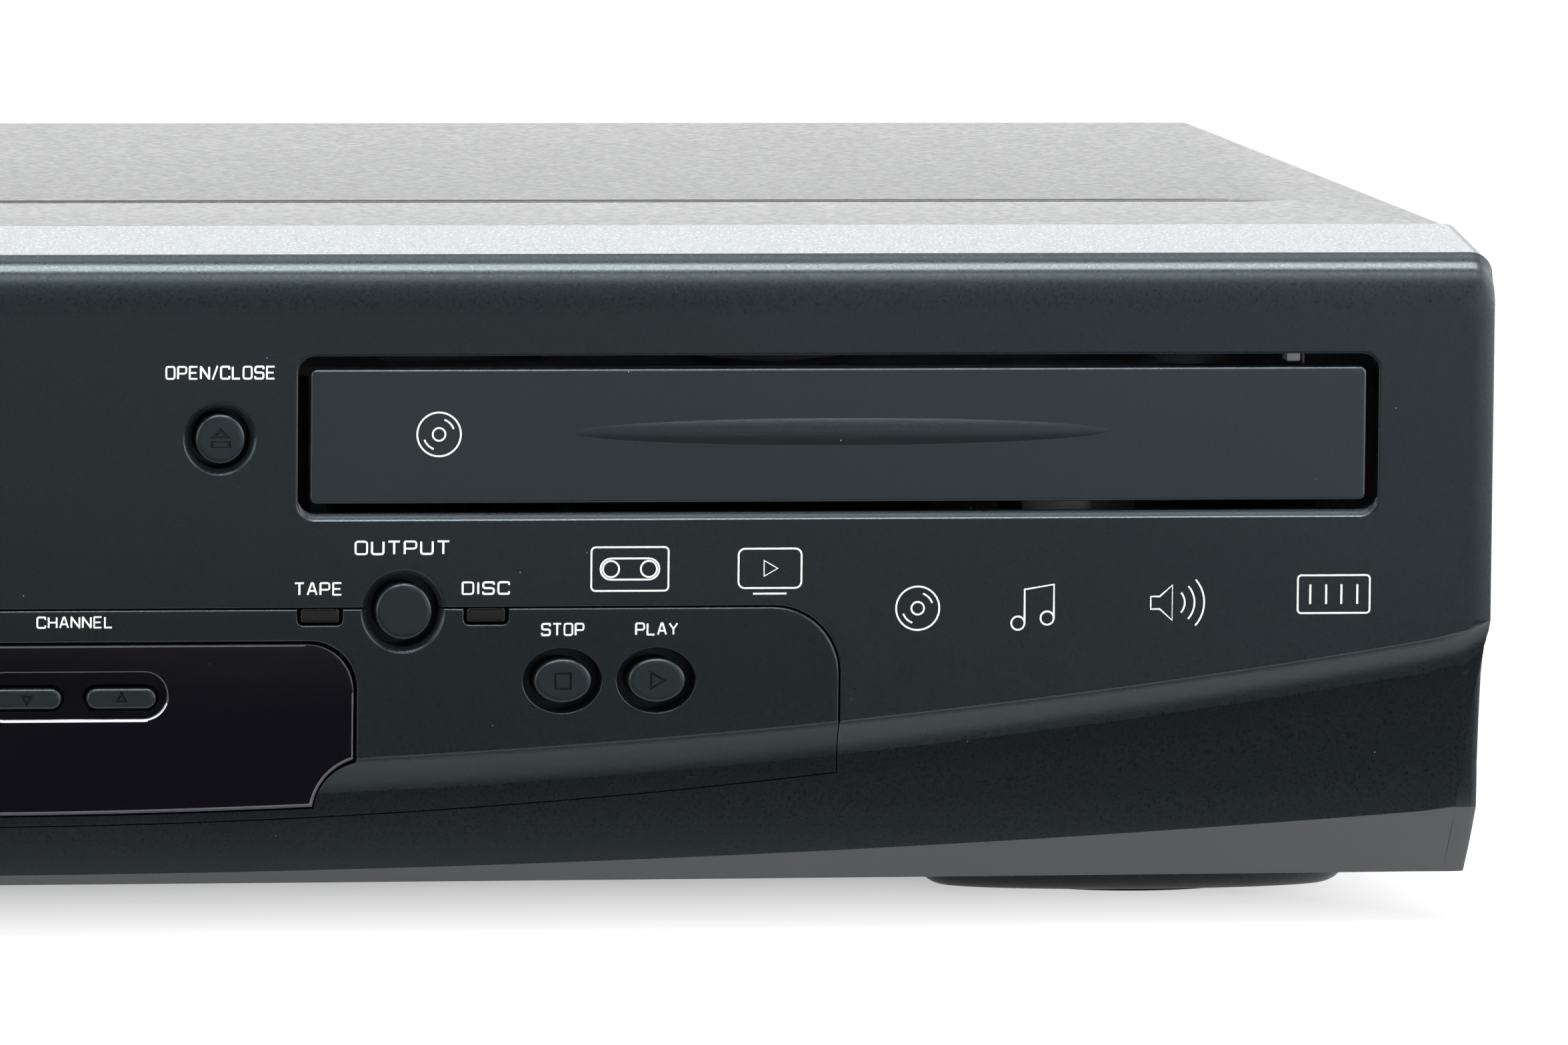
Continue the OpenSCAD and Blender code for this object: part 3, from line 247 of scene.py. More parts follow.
def noise(tree, scale, detail=2.0, roughness=0.5, stretch=(1, 1, 1)):
    """Noise over the object, with scale in grains per metre."""
    place = add(tree, "Mapping", {"Vector": over_object(tree), "Scale": stretch})
    return add(tree, "TexNoise", {"Vector": place.outputs[0], "Scale": scale, "Detail": detail,
                                  "Roughness": roughness}).outputs["Fac"]


def two_tones(tree, value, colour, low, high, start=0.3, end=0.7):
    """A colour at its share low where the value is at start, and at its share high at end."""
    band = add(tree, "ValToRGB", {"Fac": value})
    for element, place, share in zip(band.color_ramp.elements, (start, end), (low, high)):
        element.position = place
        element.color = (*shade(colour, share), 1)
    return band.outputs["Color"]


def spread(tree, value, low, high, from_low=0.3, from_high=0.7):
    """Takes a value between the two from-figures to the same place between low and high."""
    return add(tree, "MapRange", {"Value": value, "From Min": from_low, "From Max": from_high, "To Min": low,
                                  "To Max": high}).outputs["Result"]


def bump(tree, shader, height, depth):
    """Raises the surface by depth millimetres of height."""
    lift = add(tree, "Bump", {"Height": height, "Distance": depth * MM, "Strength": 1})
    feed(tree, shader, {"Normal": lift.outputs[0]})


def specks(tree, pitch, size, share):
    """Round specks of dust: one cell in so many holds a speck. Pitch and size are in millimetres."""
    cells = add(tree, "TexVoronoi", {"Vector": over_object(tree), "Scale": 1000 / pitch})
    chance = add(tree, "SeparateColor", {"Color": cells.outputs["Color"]})
    here = spread(tree, chance.outputs["Red"], 0, 1, 1 - share - 0.001, 1 - share)
    disc = spread(tree, cells.outputs["Distance"], 1, 0, size / pitch * 0.7, size / pitch)
    return maths(tree, "MULTIPLY", here, disc)


def shade(colour, share):
    return tuple(c * share for c in colour)


def moulded(colour, roughness=0.42, specular=0.35, grain=2600, depth=0.012, speck=0.0, tint=(1, 1, 1)):
    """Moulded plastic: a fine spark-eroded grain, a slow drift in tone and a few pale specks of dust."""
    material, tree, shader = new_material()
    fine = noise(tree, grain, 2, 0.6)
    tone = two_tones(tree, noise(tree, 14, 3), colour, 0.9, 1.1)
    if speck:
        tone = mixed(tree, specks(tree, 1.9, 0.12, 0.03), tone, (speck, speck, speck))
    feed(tree, shader, {"Base Color": tone, "Specular IOR Level": specular, "Specular Tint": tint,
                        "Roughness": spread(tree, fine, roughness - 0.05, roughness + 0.06)})
    bump(tree, shader, fine, depth)
    return material


def painted_steel(colour, roughness=0.45):
    """Powder paint on sheet steel, with the orange peel that it dries to."""
    material, tree, shader = new_material()
    peel = noise(tree, 900, 3, 0.55)
    feed(tree, shader, {"Base Color": two_tones(tree, noise(tree, 9, 3), colour, 0.85, 1.15),
                        "Roughness": spread(tree, peel, roughness - 0.06, roughness + 0.08),
                        "Specular IOR Level": 0.5})
    bump(tree, shader, peel, 0.016)
    return material


def metal(colour, roughness=0.3, brush=(1, 1, 1), scale=600):
    """Bare or plated metal with rolling or turning marks along brush."""
    material, tree, shader = new_material()
    marks = noise(tree, scale, 4, 0.6, brush)
    feed(tree, shader, {"Base Color": two_tones(tree, noise(tree, 25, 3), colour, 0.88, 1), "Metallic": 1,
                        "Roughness": spread(tree, marks, roughness - 0.08, roughness + 0.1)})
    bump(tree, shader, marks, 0.006)
    return material


def clear_smoke(colour, roughness=0.06):
    """Polished dark acrylic with faint wipe marks and dust."""
    material, tree, shader = new_material()
    wipe = noise(tree, 60, 3, 0.6, (0.25, 1, 1))
    feed(tree, shader, {"Base Color": mixed(tree, specks(tree, 1.7, 0.1, 0.02), colour, (0.12, 0.12, 0.12)),
                        "Roughness": spread(tree, wipe, roughness, roughness + 0.08), "Specular IOR Level": 0.45})
    return material


def ink(colour):
    """Screen-printed ink, a little uneven where the screen lifted."""
    material, tree, shader = new_material()
    cover = noise(tree, 4200)
    feed(tree, shader, {"Base Color": two_tones(tree, cover, colour, 0.82, 1, 0.35, 0.6), "Roughness": 0.55})
    bump(tree, shader, cover, 0.004)
    return material


def circuit_board(mask, copper):
    """Solder mask over traces: straight runs show through as a lighter tone, with tinned pads."""
    material, tree, shader = new_material()
    runs = add(tree, "TexBrick", {"Vector": over_object(tree), "Scale": 130, "Mortar Size": 0.09, "Color1": mask,
                                  "Color2": shade(mask, 1.25), "Mortar": shade(mask, 1.9)})
    cells = add(tree, "TexVoronoi", {"Vector": over_object(tree), "Scale": 240, "Randomness": 0.35})
    pads = spread(tree, cells.outputs["Distance"], 1, 0, 0.16, 0.2)
    feed(tree, shader, {"Base Color": mixed(tree, pads, runs.outputs["Color"], copper), "Roughness": 0.35})
    bump(tree, shader, runs.outputs["Fac"], 0.02)
    return material


def rubber(colour):
    """Rubber with a pale bloom."""
    material, tree, shader = new_material()
    bloom = noise(tree, 700, 4, 0.7)
    feed(tree, shader, {"Base Color": two_tones(tree, bloom, colour, 1, 1.8, 0.3, 0.75), "Roughness": 0.8,
                        "Specular IOR Level": 0.25})
    bump(tree, shader, bloom, 0.03)
    return material


blue_cast = (0.8, 0.94, 1)
finish = {
    "bezel": moulded((0.0038, 0.0054, 0.0066), 0.31, 0.7, speck=0.16, tint=blue_cast),
    # chin: a lighter copy of the bezel plastic, a painted reflection of the pale floor
    "chin": moulded((0.034, 0.0345, 0.037), 0.33, 0.72, speck=0.2, tint=(0.95, 0.98, 1)),
    # low face: a darker copy of the bezel plastic, painted shade on the broad face under the crease
    "low_face_painted_shade": moulded((0.0018, 0.0027, 0.0035), 0.3, 0.5, speck=0.14, tint=blue_cast),
    "door": moulded((0.0062, 0.0084, 0.0098), 0.33, 0.85, speck=0.18, tint=blue_cast),
    "panel": moulded((0.0041, 0.0058, 0.0066), 0.31, 0.55, speck=0.14, tint=blue_cast),
    "button": moulded((0.0062, 0.0085, 0.0097), 0.34, 0.64, 3200, 0.006, speck=0.1, tint=blue_cast),
    "window": clear_smoke((0.0024, 0.002, 0.0038)),
    "lens": clear_smoke((0.0045, 0.0041, 0.004), 0.12),
    # lens edges: a paler copy of the lens plastic, a painted highlight
    "lens_edge_painted_highlight": clear_smoke((0.05, 0.048, 0.05), 0.2),
    # window edges and the recess lip: paler copies of the smoked plastic, painted highlights
    "window_edge_painted_highlight": clear_smoke((0.085, 0.08, 0.098), 0.25),
    "painted_highlight_lip": clear_smoke((0.62, 0.62, 0.66), 0.2),
    "cover": painted_steel((0.012, 0.013, 0.014)),
    "foot": moulded((0.024, 0.0255, 0.027), 0.24, 0.6, 900, 0.004),
    "pad": rubber((0.012, 0.012, 0.012)),
    "belt": rubber((0.014, 0.014, 0.014)),
    "print": ink((0.76, 0.78, 0.75)),
    "steel": metal((0.56, 0.58, 0.6), 0.38, (1, 0.08, 1), 500),
    "bright": metal((0.72, 0.7, 0.66), 0.2, scale=900),
    "gold": metal((0.78, 0.6, 0.28), 0.22, scale=900),
    "screw": metal((0.5, 0.52, 0.55), 0.3, scale=800),
    "aluminium": metal((0.8, 0.81, 0.82), 0.22, (1, 1, 0.05), 900),
    "board": circuit_board((0.012, 0.09, 0.03), (0.55, 0.55, 0.5)),
    "brown_board": circuit_board((0.28, 0.13, 0.04), (0.6, 0.6, 0.55)),
    "parts": moulded((0.11, 0.1, 0.08), 0.4, 0.5, 500, 0.02),
    "white": moulded((0.74, 0.74, 0.7), 0.35, 0.5, 1500, 0.004),
    "black": moulded((0.02, 0.02, 0.021), 0.45, 0.4, 1800, 0.01),
    "white_tab": moulded((0.2, 0.2, 0.2), 0.4, 0.5, 1500, 0.004),
    "grey": moulded((0.05, 0.053, 0.056), 0.5, 0.4, 1800, 0.012),
    "tray": moulded((0.028, 0.03, 0.032), 0.42, 0.42, 1700, 0.014),
    "glass": clear_smoke((0.03, 0.06, 0.055), 0.03),
    "ribbon": moulded((0.55, 0.57, 0.58), 0.3, 0.5, 700, 0.004),
}
for colour, tone in (("red", (0.5, 0.015, 0.012)), ("yellow", (0.7, 0.45, 0.01)), ("green", (0.02, 0.3, 0.05)),
                     ("blue", (0.02, 0.06, 0.42))):
    finish[colour] = moulded(tone, 0.35, 0.5, 1200, 0.004)
for name, material in finish.items():
    material.name = name


# Modelling helpers

def deselect():
    if bpy.context.object and bpy.context.object.mode != "OBJECT":
        bpy.ops.object.mode_set(mode="OBJECT")
    bpy.ops.object.select_all(action="DESELECT")


def take(piece):
    """Makes a piece the only one selected."""
    deselect()
    piece.select_set(True)
    bpy.context.view_layer.objects.active = piece
    return piece


def loft(name, loops):
    """A closed solid through loops of points in millimetres: a flat circle is laid on the first loop
    and extruded to each of the others in turn."""
    deselect()
    bpy.ops.mesh.primitive_circle_add(vertices=len(loops[0]), radius=1, fill_type="NGON")
    piece = bpy.context.object
    piece.name = name
    for vertex, point in zip(piece.data.vertices, loops[0]):
        vertex.co = Vector(point) * MM
    bpy.ops.object.mode_set(mode="EDIT")
    bpy.ops.mesh.select_all(action="SELECT")
    below = list(range(len(loops[0])))
    for loop in loops[1:]:
        bpy.ops.mesh.extrude_region_move()
        form = bmesh.from_edit_mesh(piece.data)
        form.verts.index_update()
        order = {index: i for i, index in enumerate(below)}
        moved = {}
        for vertex in (v for v in form.verts if v.select):
            partner = next(e.other_vert(vertex) for e in vertex.link_edges if not e.other_vert(vertex).select)
            moved[order[partner.index]] = vertex
        for i, vertex in moved.items():
            vertex.co = Vector(loop[i]) * MM
        below = [moved[i].index for i in range(len(loop))]
        bmesh.update_edit_mesh(piece.data)
    bpy.ops.mesh.select_all(action="SELECT")
    bpy.ops.mesh.remove_doubles(threshold=0.000001)
    bpy.ops.mesh.normals_make_consistent(inside=False)
    bpy.ops.object.mode_set(mode="OBJECT")
    return piece


def oval(x, z, w, h, count=64):
    turns = [2 * math.pi * i / count for i in range(count)]
    return [(x + w / 2 * math.cos(a), z + h / 2 * math.sin(a)) for a in turns]


def circle(x, z, r, count=64):
    return oval(x, z, 2 * r, 2 * r, count)


def arc(x, z, r, start, end, count):
    """Points of an arc, with its angles in degrees."""
    turns = [math.radians(start + (end - start) * i / count) for i in range(count + 1)]
    return [(x + r * math.cos(a), z + r * math.sin(a)) for a in turns]


def round_rect(x, z, w, h, r, count):
    return (arc(x + w / 2 - r, z + h / 2 - r, r, 0, 90, count) + arc(x - w / 2 + r, z + h / 2 - r, r, 90, 180, count)
            + arc(x - w / 2 + r, z - h / 2 + r, r, 180, 270, count)
            + arc(x + w / 2 - r, z - h / 2 + r, r, 270, 360, count))


def plate(name, outline, y0, y1):
    """An outline in X and Z, from one depth to another."""
    return loft(name, [[(x, y, z) for x, z in outline] for y in (y0, y1)])


def turned(name, outline, profile):
    """A form whose section is an outline function of size, carried through (size, depth) pairs."""
    return loft(name, [[(x, y, z) for x, z in outline(size)] for size, y in profile])


def at_depths(profile):
    """The pairs of a profile with their depths counted from the face."""
    return [(size, face_y + depth) for size, depth in profile]


def apply(piece, kind, **settings):
    """Runs a modifier on a piece, and its result becomes the mesh."""
    take(piece)
    work = piece.modifiers.new(kind.lower(), kind)
    for key, value in settings.items():
        setattr(work, key, value)
    bpy.ops.object.modifier_apply(modifier=work.name)


def cut(piece, *cutters, operation="DIFFERENCE"):
    """Takes each cutter away from a piece, or keeps what both have with the operation INTERSECT."""
    for cutter in cutters:
        apply(piece, "BOOLEAN", operation=operation, solver="EXACT", object=cutter)
        bpy.data.objects.remove(cutter)
    return piece


def joined(name, pieces):
    take(pieces[0])
    for piece in pieces:
        piece.select_set(True)
    bpy.ops.object.join()
    pieces[0].name = name
    return pieces[0]


def soften(piece, width, segments=2):
    """Rounds the edges sharper than 30 degrees by width millimetres."""
    take(piece)
    bpy.ops.object.shade_smooth()
    apply(piece, "BEVEL", width=width * MM, segments=segments, limit_method="ANGLE", angle_limit=math.radians(30),
          use_clamp_overlap=False, harden_normals=True)
    bpy.ops.object.shade_smooth_by_angle(angle=math.radians(32))
    return piece


def merge(flat):
    """Joins doubled points of the piece in hand and makes faces whole that are flat to so many degrees."""
    bpy.ops.object.mode_set(mode="EDIT")
    bpy.ops.mesh.select_all(action="SELECT")
    bpy.ops.mesh.remove_doubles(threshold=0.000002)
    bpy.ops.mesh.dissolve_limited(angle_limit=math.radians(flat))
    bpy.ops.object.mode_set(mode="OBJECT")


def even(piece, angle=33):
    """Merges flat faces and smooths the shading, with broad faces kept flat."""
    take(piece)
    merge(0.05)
    bpy.ops.object.shade_smooth_by_angle(angle=math.radians(angle))
    apply(piece, "WEIGHTED_NORMAL", keep_sharp=True, weight=100)
    return piece


def own_copy(node):
    """A copy of a node's mesh: its loose triangles are merged and its flat faces made whole."""
    piece = bpy.data.objects.new(node + "_form", frame["nodes"][node].data.copy())
    bpy.context.scene.collection.objects.link(piece)
    piece.data.materials.clear()
    take(piece)
    bpy.ops.mesh.customdata_custom_splitnormals_clear()
    merge(0.1)
    return piece


def keep(piece, look, slot, *nodes, body=None):
    """Gives a piece its finish, its body and the nodes that it stands for."""
    piece.data.materials.clear()
    piece.data.materials.append(finish[look])
    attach(piece, body or frame["nodes"][nodes[0]]["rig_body"])
    if nodes:
        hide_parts(*nodes)
    return piece


def also(piece, look, test):
    """A second finish for the faces that test picks by their middle and the way they look, in millimetres."""
    piece.data.materials.append(finish[look])
    number = len(piece.data.materials) - 1
    for face in piece.data.polygons:
        if test(face.center / MM, face.normal):
            face.material_index = number


def rounded_node(node, look, slot, width, segments=2):
    """A node with its edges rounded, as it comes out of its mould or press."""
    return keep(soften(own_copy(node), width, segments), look, slot, node)


# Shape of the moulded front: depths are counted from the face, and the crease and the chin are long arcs.
# The chin's lighter finish, a painted reflection of the pale floor, ends at chin_edge over its line, which lies
# between two rows of faces.

crease_low, crease_r = base_z + 16.6, 1276
chin_low, chin_r = base_z + 1.4, 2870
chin_slope = 3.5
chin_edge = 0.1
step = 2.46
lean = 0.05
bezel_depth = bezel_back - face_y
facet_low = top_z - 3.2
facet_front = 2.44
side_flare = 2
corner_r = 3.2
arris_wide, arris_deep = 3.2, 0.6
cove_low = -5.2

# Loops of the front from the face backwards: (depth, height over the crease line, height under the case's top)
brow = [(0, 0.45, 12), (0.026, 0.32, 11), (0.087, 0.2, 10), (0.154, 0.12, 9.3), (0.233, 0.05, 8.7),
        (0.333, -0.03, 8.1), (0.45, -0.13, 7.5), (0.589, -0.26, 6.9), (0.772, -0.44, 6.3), (0.949, -0.63, 5.85),
        (1.143, -0.87, 5.5), (1.369, -1.18, 5.2), (1.582, -1.53, 4.95), (1.782, -1.93, 4.7), (1.977, -2.43, 4.4),
        (2.123, -2.95, 4.1), (2.244, -3.45, 3.8), (2.353, -4.05, 3.5), (2.44, -4.75, 3.22), (2.46, cove_low, 3.195)]

# How far the sides draw in below the crease: (height, inset)
side_draw = [(base_z, 1.5), (9.7, 1.2), (13.5, 0.9), (15.5, 0.75), (17.3, 0.7), (23, 0.8), (30.8, 0.75),
             (36.5, 0.6), (38.4, 0.45), (41, 0.25), (42.2, 0)]


def arch(low, radius, x):
    """Height at x of an arc with its lowest point in the middle."""
    return low + radius - math.sqrt(radius * radius - x * x)


def crease_z(x):
    return arch(crease_low, crease_r, x)


def chin_z(x):
    return arch(chin_low, chin_r, x)


def between(table, value):
    """Straight-line reading of a table of (place, amount) in rising order of place."""
    if value <= table[0][0]:
        return table[0][1]
    for (a, low), (b, high) in zip(table, table[1:]):
        if value <= b:
            return low + (high - low) * (value - a) / (b - a) if b > a else high
    return table[-1][1]


def facet_z(depth):
    return facet_low + (depth - facet_front) * (top_z - facet_low) / (bezel_depth - facet_front)


def front_form(name):
    """The whole front before anything is cut from it: loops run round the outline from the face backwards."""
    crease_end = crease_z(half)
    chin_end = chin_z(half)
    chin_depth = step + lean * (crease_end - chin_end + cove_low)
    set_back = sorted([(crease_end + over, depth) for depth, over, drop in brow]
                      + [(chin_end, chin_depth), (base_z, chin_depth + (chin_end - base_z) / chin_slope)])

    def side_x(z, depth, inset):
        behind = depth - between(set_back, z)
        x = half - between(side_draw, z) - side_flare * max(0, depth - 2) / (bezel_depth - 2)
        if behind < arris_deep:
            x -= arris_wide * (1 - math.sqrt(max(0, 1 - (1 - behind / arris_deep) ** 2)))
        return x - inset

    def loop(depth, low, top, back=0.0):
        """low(x) gives (depth, height) of the bottom line, and back moves a loop behind the face."""
        low_z = low(half - 1)[1]
        bend = top - corner_r
        heights = [(low_z + (bend - low_z) * i / 27, 0) for i in range(28)]
        for i in range(1, 9):
            turn = math.radians(i * 90 / 8)
            heights.append((bend + corner_r * math.sin(turn), corner_r * (1 - math.cos(turn))))
        right = []
        for z, inset in heights:
            d = max(depth, between(set_back, z)) + back if depth < bezel_depth else bezel_depth
            right.append((side_x(z, d, inset), face_y + d, z))
        end = right[0][0]
        bottom = []
        for i in range(1, 80):
            x = -end + 2 * end * i / 80
            d, z = low(x)
            bottom.append((x, face_y + min(d + back, bezel_depth), z))
        width = right[-1][0]
        crown = [(width - 2 * width * i / 12, right[-1][1], top) for i in range(1, 12)]
        left = [(-x, y, z) for x, y, z in reversed(right)]
        return bottom + right + crown + left

    def under_crease(depth, over):
        return lambda x: (depth, crease_z(x) + over)

    def chin_y(x):
        """Depth of the chin's upper edge: the face above it leans back towards the foot."""
        return step + lean * (crease_z(x) - chin_z(x) + cove_low)

    def on_chin(over):
        """A line over the chin's upper edge, or down its slope where over is below nothing."""
        return lambda x: (chin_y(x) + max(0, -over) / chin_slope, chin_z(x) + over)

    def chin_foot(up, back):
        return lambda x: (chin_y(x) + (chin_z(x) - base_z - up) / chin_slope + back, base_z + up)

    loops = [loop(depth, under_crease(depth, over), top_z - drop) for depth, over, drop in brow]
    for low in (on_chin(0.25), on_chin(0.05), on_chin(-0.15), chin_foot(0.3, 0), chin_foot(0.08, 0.1),
                chin_foot(0, 0.32)):
        loops.append(loop(step, low, facet_z(step)))
    for back in (0.02, 0.06, 0.12, 0.2, 0.3, 0.42, arris_deep):
        loops.append(loop(step, chin_foot(0, 0.32), facet_z(step + back), back))
    loops.append(loop(bezel_depth, lambda x: (bezel_depth, base_z), top_z))
    return loft(name, loops)


def rounded_hole(outline, size, back=bezel_back + 1, start=face_y):
    """A cutter that leaves a rounded edge on the face. outline(grow) gives the hole."""
    return turned("cutter", outline, [(size, start - 1), (size, start), (size * 0.5, start + size * 0.13),
                                      (size * 0.13, start + size * 0.5), (0, start + size), (0, back)])


def cone_hole(outline, rim):
    """A cutter for a well: a sloping rim of that width and a straight bore behind it."""
    profile = [(0.2, -1), (0.2, 0), (0.1, 0.025), (0, 0.075), (-0.12, 0.16), (-0.4, 0.38), (-rim, 0.75)]
    return turned("cutter", outline, at_depths([(rim + grow, depth) for grow, depth in profile])
                  + [(0, bezel_back + 1)])


def over_chin(at):
    """How high a place lies over the chin's upper edge."""
    return at.z - chin_z(min(half, abs(at.x)))


def below_cove(at, way):
    """Picks the broad leaning face under the crease."""
    return way.y < -0.97 and over_chin(at) > chin_edge and at.z < crease_z(min(half, abs(at.x))) + cove_low + 0.5


def box_cutter(x0, x1, y0, y1, z0, z1):
    return plate("cutter", [(x0, z0), (x1, z0), (x1, z1), (x0, z1)], y0, y1)


# Outlines on the face, each with how far it grows

panel_half = span("control_panel")[1].x
panel_top = span("control_panel")[1].z + 0.45
panel_low, panel_low_r, panel_r = base_z + 8.4, 1101, 9.6
window_half = span("display_window")[1].x
window_top = span("display_window")[1].z + 0.35
window_low, window_low_r, window_r = base_z + 10.1, 1250, 6.7
notch_x, notch_z, notch_r = window_half + 2.3, window_low - 0.2, 8.1


def panel_outline(grow):
    wide, low = panel_half + grow, panel_low - grow
    steps = [-wide + 2 * wide * i / 48 for i in range(49)]
    return ([(x, arch(low, panel_low_r, x)) for x in steps]
            + arc(wide - panel_r, panel_top + grow - panel_r, panel_r, 0, 90, 12)
            + arc(-wide + panel_r, panel_top + grow - panel_r, panel_r, 90, 180, 12))


def window_outline(grow, low_grow=None):
    wide, top = window_half + grow, window_top + grow
    drop = grow if low_grow is None else low_grow
    low, bite = window_low - drop, notch_r - drop
    meet_z = arch(low, window_low_r, notch_x - bite)
    meet_x = notch_x - math.sqrt(bite ** 2 - (meet_z - notch_z) ** 2)
    start = math.degrees(math.atan2(meet_z - notch_z, meet_x - notch_x))
    end = math.degrees(math.acos((wide - notch_x) / bite))
    right = arc(notch_x, notch_z, bite, start, end, 12) + arc(wide - window_r, top - window_r, window_r, 0, 90, 10)
    steps = [-meet_x + 2 * meet_x * i / 40 for i in range(1, 40)]
    return [(x, arch(low, window_low_r, x)) for x in steps] + right + [(-x, z) for x, z in reversed(right)]


def round_at(node, r):
    x, z = middle_of(node)
    return lambda grow: circle(x, z, r + grow)


def oval_at(node, w, h):
    x, z = middle_of(node)
    return lambda grow: oval(x, z, w + 2 * grow, h + 2 * grow)


def box_at(x, z, w, h, r, count):
    return lambda grow: round_rect(x, z, w + 2 * grow, h + 2 * grow, r + grow, count)


def pill_at(x, z, w, h):
    return box_at(x, z, w, h, h / 2 - 0.01, 10)


oval_buttons = ["disc_stop_button", "disc_play_button", "tape_rewind_button", "tape_play_button",
                "tape_forward_button", "tape_stop_button"]
output_well = 5.13
cap_proud = 0.6
small_well = 4.3
well_rim = 0.8
lens_pitch = 11.8
recess_x, recess_z = 14.8, base_z + 27.05
board_y = span("front_board")[0].y
tray_mid = middle("tray_door").x
opening_w, opening_low, opening_top = 154.6, base_z + 51.3, base_z + 75
flap_low, flap_high = span("cassette_flap")
jack_x = [span("front_av_jacks")[0].x + 6 + 15 * i for i in range(3)]


def make_bezel():
    """The front moulding: wells, the tray opening with its sloping sill, the tape opening and the socket wells."""
    bezel = front_form("bezel")
    wall = 2.6
    inner = half - wall - 3.4
    cut(bezel,
        box_cutter(-inner, inner, face_y + step + wall + 2.2, bezel_back + 1, base_z + wall, facet_low - wall - 0.5),
        box_cutter(-inner, inner, face_y + wall, bezel_back - 0.02, panel_top + 2.5, facet_low - wall - 3.6),
        rounded_hole(lambda grow: panel_outline(0.15 + grow), 0.25))

    def tray_hole(edge):
        """The tray opening with its sill and its other sides each moved out."""
        sill, grow = edge
        return round_rect(tray_mid, (opening_low + sill + opening_top + grow) / 2, opening_w + 2 * grow,
                          opening_top + grow - opening_low - sill, 2.5, 10)

    sill_line = [(0.3, 0.4, -1), (0.3, 0.4, 0), (0.36, 0.18, 0.025), (0.42, 0.05, 0.075), (0.48, 0, 0.125),
                 (0.6, 0, 0.205), (0.78, 0, 0.295), (0.98, 0, 0.375), (1.2, 0, 0.44), (1.4, 0, 0.48), (1.42, 0, 4),
                 (1.42, 0, bezel_depth + 1)]
    cut(bezel, turned("cutter", tray_hole, [((sill, grow), face_y + depth) for sill, grow, depth in sill_line]))
    flap_x = middle("cassette_flap").x
    cut(bezel, rounded_hole(box_at(flap_x, flap_low.z + 14.75, 198, 30.5, 0.8, 4), 0.25),
        cone_hole(round_at("open_close_button", small_well), well_rim),
        cone_hole(round_at("output_button", output_well), well_rim),
        cone_hole(round_at("power_button", small_well), well_rim))
    for x in jack_x:
        cut(bezel, cone_hole(lambda grow, x=x: circle(x, base_z + 17, 6.1 + grow, 48), 0.7))
    ribs = []
    for node, back in (("open_close_button", 2.5), ("power_button", 4.9)):
        x, z = middle_of(node)
        for side in (-1, 1):
            ribs.append(turned("lug", lambda r, x=x + side * 8.5, z=z: circle(x, z, r, 20),
                               [(2, face_y + back), (2, board_y)]))
    for side in (-1, 1):
        ear = flap_x + side * (98.5 + 2.3)
        ribs.append(box_cutter(ear - 1.7, ear + 1.7, face_y + 2.5, face_y + 8.4, flap_high.z - 6.8, flap_high.z + 1.2))
    even(bezel)
    for rib in ribs:
        soften(rib, 0.3)
    keep(joined("bezel", [bezel] + ribs), "bezel", "bezel_plastic", "front_bezel")
    # The chin takes a lighter copy of the bezel finish: a painted reflection of the pale floor.
    also(bezel, "chin", lambda at, way: at.y < face_y + 8 and over_chin(at) < chin_edge)
    # The broad face under the crease takes a darker copy of the finish: painted shade.
    also(bezel, "low_face_painted_shade", below_cove)
    tab_x = tray_mid + 65.1
    tab = box_cutter(tab_x - 0.8, tab_x + 1.2, face_y + 2.2, face_y + 6, opening_top - 1.3, opening_top + 0.4)
    tab.name = "tray_stop_tab"
    keep(soften(tab, 0.25), "white_tab", "white_plastic", body="case")


def make_panel():
    """The control panel: the same form as the front, trimmed to its outline, with a notch for each lamp."""
    panel = front_form("panel")
    edge = [(-0.4, -1), (-0.4, 0), (-0.2, 0.05), (-0.06, 0.19), (0, 0.4), (0, step + 2.6)]
    cut(panel, turned("cutter", panel_outline, at_depths(edge)), operation="INTERSECT")
    cut(panel, rounded_hole(lambda grow: window_outline(0.4 + grow), 0.34),
        cone_hole(round_at("output_button", output_well), well_rim))
    output_x = middle("output_button").x
    for side in (-1, 1):
        cut(panel, rounded_hole(box_at(output_x + side * lens_pitch, panel_top + 0.6, 6.4, 5.9, 0.8, 6), 0.24))
    for node in oval_buttons:
        cut(panel, rounded_hole(oval_at(node, 11.1, 9.1), 0.3))
    lug_z = middle("disc_stop_button").z - 8
    lugs = [turned("lug", lambda r, x=x: circle(x, lug_z, r, 24), [(2.5, face_y + 4.8), (2.5, board_y)])
            for x in (-panel_half + 8, panel_half - 8)]
    even(panel)
    for lug in lugs:
        soften(lug, 0.3)
    keep(joined("panel", [panel] + lugs), "panel", "panel_plastic", "control_panel")
    # The panel's face under the crease takes the darker copy too: painted shade.
    also(panel, "low_face_painted_shade", below_cove)


